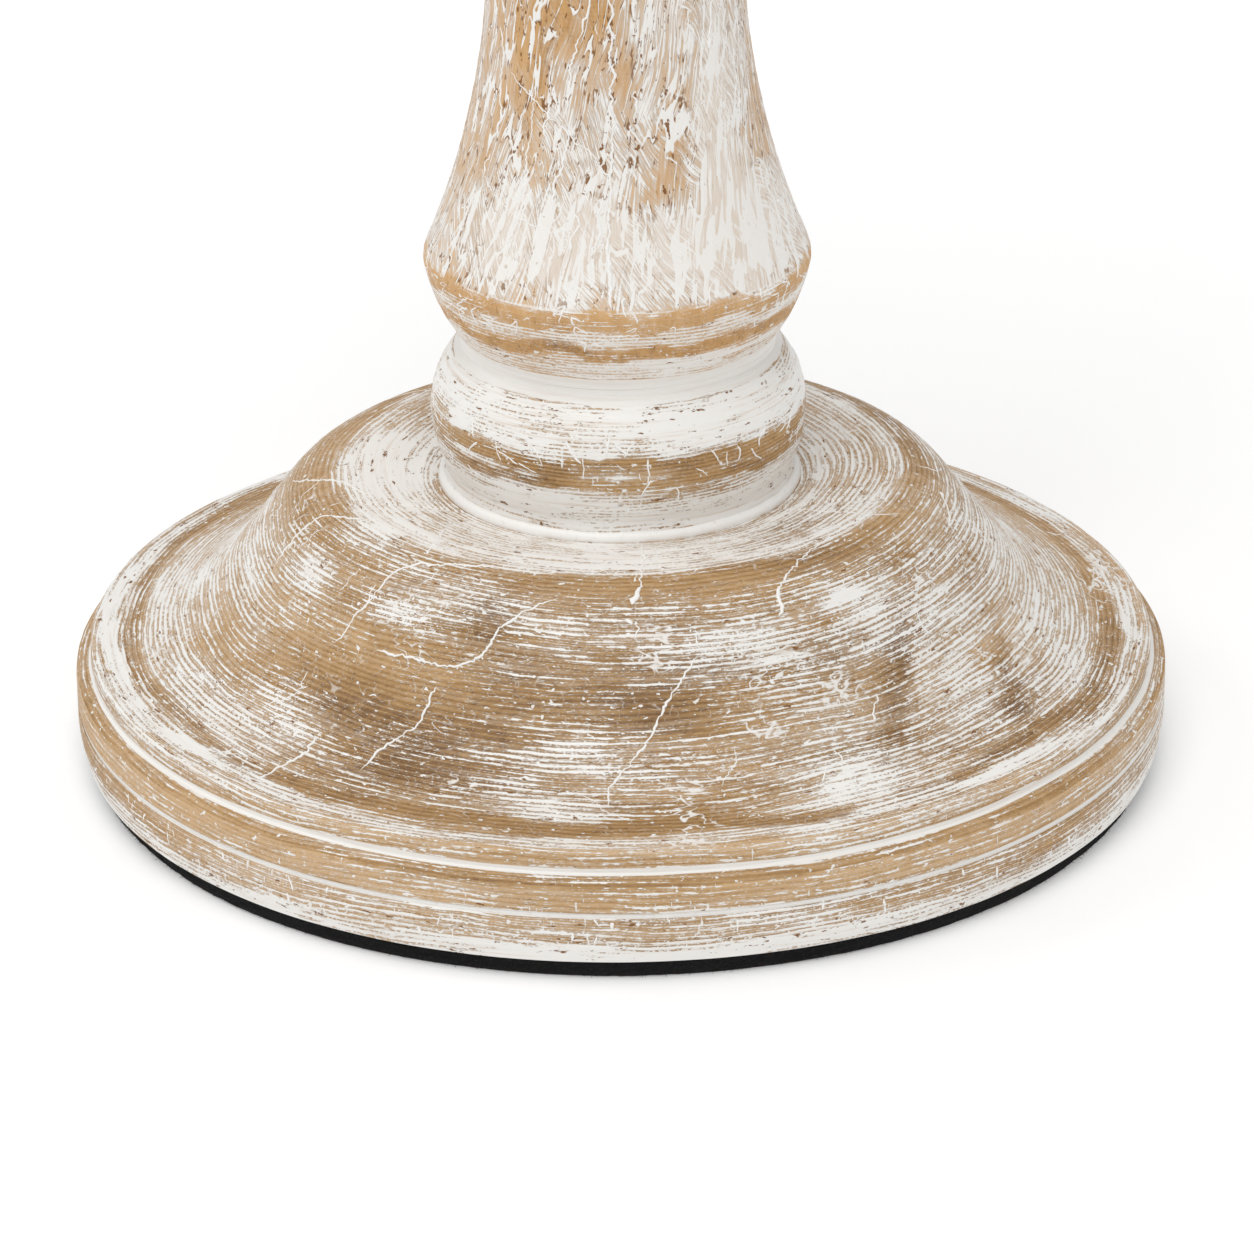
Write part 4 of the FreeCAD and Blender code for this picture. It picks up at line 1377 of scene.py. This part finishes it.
@dataclass
class NeckCollar(Turned):
    """The bead between the base and the column."""

    foot: float
    bore: float = 11.1
    turns: int = 600
    short_runs: int = 90
    node: ClassVar[str] = "neck_collar"
    places: ClassVar[str] = "middle"
    wander: ClassVar[int] = 17

    def skin(self) -> Skin:
        """The collar's turned skin with its belts.

        Returns:
            The skin.
        """
        full, hollow = Swing.FULL, Swing.HOLLOW
        path = Outline().start(24.5, self.foot)
        path.arc(23.8, 42.5, 4.0, hollow, 0.25)
        path.arc(25.5, 50.6, 20.15, full, 0.3).name("middle")
        path.arc(21.4, 59.6, 11.93, full, 0.3).name("top")
        path.line(21.4, 60.4, 0.25).name("joint").keep()
        path.line(self.bore, 60.4, 3.0).line(self.bore, self.foot, 5.0).line(24.5, self.foot, 3.0)
        middle, top, joint = path.runs_of("middle top joint")
        belts = (
            (-2, 0.9, 0, 0, 1, 0.5, 0.15, 61), (0.8, middle - 5.6, 0.22, -0.1, 0, 0.8, 0.5, 62),
            (middle - 5.6, middle - 3.6, 0.04, 0.1, 0, 0.8, 0.5, 63),
            (middle - 3.3, middle - 1.7, -0.32, 0.1, 0, 0.5, 0.5, 64),
            (middle - 1.2, middle + 1.2, -0.36, 0.12, 0, 0.5, 0.4, 60),
            (middle + 2, top - 1.6, 0.24, 0, 0, 1.5, 0.7, 65),
            (top - 1.4, top + 4, 0, 0, 1, 0.7, 0.2, 66),
        )
        return Skin(
            "collar",
            path,
            self.turns,
            seen=joint + 0.3,
            cover=0.60,
            tone=0.40,
            belts=[Belt(*row) for row in belts],
            mottles=[
                (Mottle(71, 7, 5.0, 3, 0.6), 0.12, 0.0),
                (Mottle(72, 9, 4.0), 0.0, 0.18),
                (Mottle(73, 34, 1.6), 0.08, 0.06),
            ],
            ring_depth=0.02,
            ring_gap=1.5,
            warp=0.05,
            seed=13,
        )

    def runs(self, middle: float) -> list[Run]:
        """A ring of paint round the foot, and seeded short runs over the bead.

        Args:
            middle: where the bead is widest.

        Returns:
            The runs.
        """
        found = [Run.ring(0.55, 4.0)]
        rng = np.random.default_rng(88)
        for _ in range(self.short_runs):
            turn, run = rng.uniform(0, 360), middle + rng.normal(-0.6, 2.6)
            long, lean = rng.uniform(0.8, 3.2), rng.normal(0, 4.0)
            path = [(turn + lean * i / 2, run + long * i / 2) for i in range(3)]
            path[1] = (path[1][0] + rng.normal(0, 0.8), path[1][1])
            found.append(Run(rng.uniform(0.35, 0.65), 0.0, tuple(path), 0.15))
        return found


@dataclass
class Column(Turned):
    """The spindle: bulb, bell, stem and capital, with its two tenons."""

    seat: float
    turns: int = 300
    bell_runs: int = 260
    belt_ticks: int = 80
    node: ClassVar[str] = "column"
    places: ClassVar[str] = "arris stem"
    wander: ClassVar[int] = 19

    def outline(self) -> Outline:
        """The column's outline, from the head of its lower pilot hole round to its upper one.

        Returns:
            The outline.
        """
        full, hollow = Swing.FULL, Swing.HOLLOW
        path = Outline().start(0.0, 56.0).line(1.75, 56.0, 1.0).line(1.75, 19.1, 12.0)
        path.line(11.0, 19.1, 4.0).line(11.0, self.seat, 8.0).line(21.4, self.seat, 3.0).keep()
        path.name("seat").line(21.4, 61.2, 0.25).name("lip").arc(26.2, 71.7, 24.0, full, 0.35)
        path.line(26.2, 72.6, 0.3).name("arris").arc(17.0, 116.1, 107.4, hollow, 0.42)
        path.line(15.4, 233.8, 1.15).name("stem")
        path.arc(21.0, 249.8, 25.66, hollow, 0.8).name("capital")
        path.line(21.0, 250.8, 0.4).line(19.0, 250.8, 0.4).name("groove").line(19.0, 252.0, 0.4)
        path.arc(22.5, 258.0, 6.89, full, 0.5).arc(19.0, 264.0, 6.89, full, 0.5).name("bead")
        path.line(19.0, 268.0, 0.6).name("top")
        path.line(10.0, 268.0, 3.0).line(10.0, 284.0, 5.0).line(1.4, 284.0, 4.0)
        return path.line(1.4, 270.0, 7.0).line(0.0, 270.0, 1.0)

    def skin(self) -> Skin:
        """The column's turned skin with its belts and patches.

        Returns:
            The skin.
        """
        path = self.outline()
        seat, lip, arris, stem, capital, groove = path.runs_of("seat lip arris stem capital groove")
        bead, top = path.runs_of("bead top")
        belts = (
            (lip - 3, lip + 1, 0, 0, 1, 0.7, 0.2, 91),
            (lip + 1, arris - 7.6, 0.22, 0.05, 0, 0.8, 0.4, 92),
            (arris - 7.4, arris - 5.2, -0.27, 0.24, 0, 0.6, 0.9, 93),
            (arris - 5, arris - 2.6, 0.18, 0, 0, 0.6, 0.5, 94),
            (arris - 2.6, arris + 0.2, -0.25, 0.03, 0, 0.5, 1, 95),
            (arris + 0.8, arris + 13, 0.2, -0.1, 0, 5, 1.6, 96),
            (capital - 1.2, capital + 0.6, -0.32, 0.15, 0, 0.7, 0.4, 97),
            (groove - 0.6, groove + 2.2, 0, 0, 1, 0.5, 0.2, 98),
            (groove + 5.5, groove + 8.5, -0.28, 0.15, 0, 1.2, 0.6, 99),
            (bead - 0.5, bead + 1.6, 0, 0, 1, 0.6, 0.2, 100),
            (bead + 2, top + 1, 0.15, 0, 0, 0.8, 0, 101),
        )
        patches = (
            (-70, 22, 5, 20, -0.2, 0.16), (-128, 44, 6, 18, -0.26, 0.12),
            (-95, 46, 3, 16, -0.22, 0.16), (-45, 30, 5, 26, 0.3, -0.05),
            (-118, 10, 14, 10, 0.14), (-52, 8, 10, 6, 0.34),
        )
        return Skin(
            "spindle",
            path,
            self.turns,
            seen=top + 0.3,
            hidden=seat,
            cover=0.46,
            tone=0.30,
            belts=[Belt(*row) for row in belts],
            patches=[Patch(turn, arris + run, *rest) for turn, run, *rest in patches],
            mottles=[
                (Mottle(81, 6, 34.0), 0.14, 0.0),
                (Mottle(82, 9, 26.0), 0.0, 0.16),
                (Mottle(83, 30, 2.2), 0.07, 0.05),
            ],
            ring_depth=0.012,
            ring_gap=2.6,
            warp=0.06,
            dips=[(arris, 0.6, 0.14)],
            upright=(arris + 0.6, stem + 10.0),
            seed=23,
        )

    def runs(self, arris: float, top: float) -> list[Run]:
        """Raised runs of paint: the long ones listed, the rest seeded.

        Args:
            arris: where the bulb's arris is.
            top: where the stem ends.

        Returns:
            The runs.
        """
        placed = (
            (0.7, 0.8, (-92, 1), (-93, 12), (-91.5, 24), (-92, 38), (-91, 54)),
            (0.5, 0, (-128, 4), (-127, 14), (-125, 30)),
            (0.4, 0, (-140, 30), (-120, 26), (-100, 21), (-84, 14)),
            (0.35, 0, (-150, 16), (-130, 12), (-105, 10)),
        )
        found = [
            Run(width, drop, tuple((turn, arris + run) for turn, run in path))
            for width, drop, *path in placed
        ]
        rng = np.random.default_rng(123)
        for _ in range(self.bell_runs):
            turn, run = rng.uniform(0, 360), arris + rng.uniform(4, top - arris)
            long = rng.gamma(2.0, 3.0) + 1.0
            lean = rng.normal(0, 0.5)
            path = [
                (turn + lean * long * i / 3 + rng.normal(0, 0.8), min(run + long * i / 3, top))
                for i in range(4)
            ]
            found.append(Run(rng.uniform(0.3, 0.75), rng.choice([0.0, 0.5, 0.8]), tuple(path)))
        for _ in range(self.belt_ticks):
            turn, run = rng.uniform(0, 360), arris + rng.uniform(-6.5, 0.5)
            tall, wide = rng.uniform(0.5, 3.0), rng.normal(0, 4.0)
            corner = (turn + rng.normal(0, 1.2), run + tall)
            far = (turn + wide, run + tall + rng.normal(0, 0.9))
            found.append(Run(rng.uniform(0.35, 0.6), 0.0, ((turn, run), corner, far), 0.2))
        return found


@dataclass
class TopDish:
    """The turned dish that the candle stands on."""

    seat: float
    turns: int = 480

    def outline(self) -> Outline:
        """The dish's outline, from its foot over the rim and down into the mortise.

        Returns:
            The outline.
        """
        full, hollow = Swing.FULL, Swing.HOLLOW
        path = Outline().start(20.5, self.seat)
        path.line(20.5, 270.0, 0.5).line(22.0, 270.0, 0.5).name("foot")
        path.arc(52.5, 288.0, 34.84, hollow, 0.6).name("hollow").line(55.0, 288.0, 0.4).name("step")
        path.arc(57.5, 294.0, 8.45, full, 0.5).name("middle").arc(55.0, 300.0, 8.45, full, 0.5)
        path.name("top").line(52.5, 300.0, 0.5).name("lip").line(52.5, 297.0, 0.6).name("floor")
        path.line(2.3, 297.0, 2.5).line(2.3, 285.0, 6.0).line(10.1, 285.0, 3.0)
        return path.line(10.1, self.seat, 6.0).line(20.5, self.seat, 3.0)

    def build(self, wash: bpy.types.Material) -> None:
        """Builds the dish.

        Args:
            wash: finish of the wood.
        """
        path = self.outline()
        foot, hollow, step, middle = path.runs_of("foot hollow step middle")
        top, lip, floor = path.runs_of("top lip floor")
        belts = (
            (-1, foot + 1, 0, 0, 1, 0.8, 0.3, 111),
            (hollow - 1.6, hollow + 1, 0, 0, 1, 0.6, 0.3, 112),
            (step - 0.6, step + 1.2, -0.3, 0.15, 0, 0.7, 0.4, 113),
            (middle - 1.6, middle + 1.8, -0.24, 0.18, 0, 1.2, 0.7, 114),
            (top - 1, lip + 0.3, -0.22, 0.1, 0, 0.8, 0.5, 115),
        )
        skin = Skin(
            "dish",
            path,
            self.turns,
            seen=floor,
            cover=0.52,
            tone=0.42,
            belts=[Belt(*row) for row in belts],
            mottles=[(Mottle(116, 9, 11.0, 3, 0.9), 0.16, 0.0), (Mottle(117, 9, 9.0), 0.0, 0.2)],
            dips=[(step, 0.5, 0.14), (lip, 0.5, 0.12)],
            seed=33,
        )
        mount(skin.build(), wash, WOOD_SLOT, "top_dish")


@dataclass
class FeltPad:
    """The black felt disc under the base, with its loose fibres."""

    radius: float
    thick: float
    bevel: float = 0.7
    frayed: float = 1.5
    turns: int = 900
    fibres: int = 5200

    def build(self, felt: bpy.types.Material) -> None:
        """Builds the pad and its fibres.

        Args:
            felt: finish of both.
        """
        path = Outline().start(0.0, 0.0).line(self.radius - self.bevel, 0.0, 5.0)
        path.arc(self.radius, self.bevel, self.bevel, Swing.FULL, 0.2)
        path.line(self.radius, self.thick, 0.22).line(0.0, self.thick, 8.0)
        flat = {"soften": 0.0, "ring_depth": 0.0, "warp": 0.0, "beads": 0.0}
        pad = Skin("felt", path, self.turns, seen=FAR, seed=44, **flat).build()
        self._rough(pad.data)
        mount(pad, felt, "felt", "felt_pad")
        fibres = self._fibres()
        mount(fibres, felt, "felt")

    def _rough(self, mesh: bpy.types.Mesh) -> None:
        """Makes the pad's cut edge uneven.

        Args:
            mesh: the pad's mesh.
        """
        co = np.zeros(len(mesh.vertices) * 3, np.float32)
        mesh.vertices.foreach_get("co", co)
        co = co.reshape(-1, 3)
        radius = np.hypot(co[:, 0], co[:, 1])
        turn = np.degrees(np.arctan2(co[:, 1], co[:, 0])) % 360
        edge = np.clip((radius / MM - self.radius) / self.frayed + 1, 0, 1)
        lumps = Mottle(45, 190, 0.7).at(turn, co[:, 2] / MM)
        slow = Mottle(46, 24, 9.0, 2).at(turn, co[:, 2] / MM)
        push = (np.abs(lumps) * -0.17 + slow * 0.12 - 0.12) * edge * MM
        co[:, :2] *= (1 + push / np.maximum(radius, 1e-6))[:, None]
        mesh.vertices.foreach_set("co", co.ravel())
        mesh.update()

    def _fibres(self) -> bpy.types.Object:
        """Short loose hairs along the edge.

        Returns:
            A linked object.
        """
        rng = np.random.default_rng(47)
        points, faces = [], []
        up = np.array([0.0, 0.0, 1.0])
        for _ in range(self.fibres):
            angle = rng.uniform(0, 2 * math.pi)
            height = rng.uniform(0.15, self.thick - 0.25)
            out = np.array([math.cos(angle), math.sin(angle), 0.0])
            side = np.array([-out[1], out[0], 0.0])
            root = out * (self.radius - 0.45) + up * height
            lean = side * rng.normal(0, 0.9) + up * rng.normal(0, 0.45)
            long = rng.uniform(0.35, 0.85)
            tip = root + (out + lean) / np.linalg.norm(out + lean) * long
            tip[2] = min(max(tip[2], 0.02), self.thick - 0.02)
            middle = (root + tip) / 2 + side * rng.normal(0, 0.10)
            thin = rng.uniform(0.018, 0.035)
            start = len(points)
            for spot, wide in ((root, thin), (middle, thin * 0.8)):
                low = spot - side * wide / 2
                points += [spot + side * wide, low + up * wide, low - up * wide]
            points.append(tip)
            for j, k in ((0, 1), (1, 2), (2, 0)):
                faces.append([start + j, start + k, start + 3 + k, start + 3 + j])
                faces.append([start + 3 + j, start + 3 + k, start + 6])
            faces.append([start + 2, start + 1, start])
        return shape("felt_fibres", np.array(points), faces)


@dataclass
class Fixings:
    """The metal pieces, which keep their CAD shapes."""

    iron: tuple[str, ...] = ("drip_plate", "pricket", "plate_screws")
    steel: tuple[str, ...] = ("base_screw", "base_washer")

    def build(self, iron: bpy.types.Material, steel: bpy.types.Material) -> None:
        """Dresses the metal nodes.

        Args:
            iron: finish of the ironwork on top.
            steel: finish of the fixing under the base.
        """
        looks = ((self.iron, iron, "blackened_iron"), (self.steel, steel, "zinc_steel"))
        for names, finish, slot in looks:
            for name in names:
                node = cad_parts[name]
                dress(node, finish)


# ---------------------------------------------------------------------- studio


@dataclass
class Studio:
    """The pale floor, the soft lights and the camera; lamps and floor in metres."""

    target: tuple[float, float, float] = (0.0, 0.0, 20.0)
    distance: float = 820.0
    pitch: float = 24.0
    roll: float = 0.48
    lens: float = 170.43
    shift_x: float = 0.00526
    shift_y: float = -0.01874
    floor_half: float = 6.0
    daylight: float = 0.62

    def build(self) -> None:
        """Sets up the room."""
        self._camera()
        self._floor()
        self._lamp("key", (-0.8, -3.4, 7.6), 5.0, 290.0)
        self._lamp("side", (-5.2, 1.5, 4.6), 2.6, 52.0)
        world = bpy.data.worlds.new("studio")
        world.use_nodes = True
        sky = world.node_tree.nodes["Background"]
        sky.inputs["Color"].default_value = (1.0, 1.0, 1.0, 1.0)
        sky.inputs["Strength"].default_value = self.daylight
        bpy.context.scene.world = world
        bpy.context.scene.view_settings.view_transform = "Standard"

    def _camera(self) -> None:
        """Places the camera."""
        pitch = math.radians(self.pitch)
        ahead = Vector((0.0, math.cos(pitch), -math.sin(pitch)))
        eye = bpy.data.cameras.new("eye")
        eye.sensor_width = 36.0
        eye.lens = self.lens
        eye.shift_x, eye.shift_y = self.shift_x, self.shift_y
        eye.clip_start, eye.clip_end = 0.01, 50.0
        camera = hang("eye", eye)
        camera.location = (Vector(self.target) - ahead * self.distance) * MM
        look = ahead.to_track_quat("-Z", "Y").to_matrix().to_4x4()
        roll = Matrix.Rotation(math.radians(-self.roll), 4, "Z")
        camera.rotation_euler = (look @ roll).to_euler()
        bpy.context.scene.camera = camera

    def _floor(self) -> None:
        """Lays the floor."""
        mesh = bpy.data.meshes.new("floor")
        work = bmesh.new()
        bmesh.ops.create_grid(work, x_segments=4, y_segments=4, size=self.floor_half)
        work.to_mesh(mesh)
        work.free()
        floor = hang("floor", mesh)
        dress(floor, Paper("floor_paper").make())

    @staticmethod
    def _lamp(name: str, where: tuple[float, float, float], size: float, power: float) -> None:
        """Adds a square soft light aimed at the base.

        Args:
            name: the lamp's name.
            where: its place in metres.
            size: its side in metres.
            power: its watts.
        """
        light = bpy.data.lights.new(name, "AREA")
        light.shape = "SQUARE"
        light.size = size
        light.energy = power
        lamp = hang(name, light)
        lamp.location = where
        aim = Vector((0, 0, 0.04)) - Vector(where)
        lamp.rotation_euler = aim.to_track_quat("-Z", "Y").to_euler()


def main() -> None:
    """Builds the candlestick piece by piece."""
    logging.basicConfig(level=logging.INFO, format="%(message)s")
    Studio().build()
    front = Whitewash("base_front_wash", Grain.ROUND)
    rear = Whitewash("base_rear_wash", Grain.ROUND, pale_wood=(0.60, 0.41, 0.24))
    bead = Whitewash(
        "collar_wash", Grain.ROUND, line_gap=0.55, seed=7.0, wood=(0.45, 0.255, 0.088), veiled=0.95
    )
    bell = Whitewash(
        "column_wash",
        Grain.SPINDLE,
        line_gap=0.6,
        seed=3.0,
        pale_wood=(0.70, 0.44, 0.21),
        wood=(0.55, 0.305, 0.108),
        relief=0.045,
    )
    zinc = Ironwork(
        "zinc", (0.60, 0.60, 0.58), (0.72, 0.72, 0.70), (0.42, 0.40, 0.36), 1.0, 0.34, 0.2
    )
    paint = PlainPaint("run_paint").make()
    base = TurnedBase(
        radius=reach("base_board_rear"),
        foot=level("base_board_rear"),
        seat=level("neck_collar"),
        seam=round(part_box("base_board_rear")[0][1] / MM, 2),
    )
    base.build(paint, front.make(), rear.make())
    NeckCollar(foot=level("neck_collar")).build(paint, bead.make())
    Column(seat=level("neck_collar", top=True)).build(paint, bell.make())
    TopDish(seat=level("top_dish")).build(Whitewash("dish_wash", Grain.ROUND, seed=11.0).make())
    pad = FeltPad(radius=reach("felt_pad"), thick=level("felt_pad", top=True))
    pad.build(Felt("black_felt").make())
    Fixings().build(Ironwork("blackened_iron").make(), zinc.make())


if __name__ == "__main__":
    main()
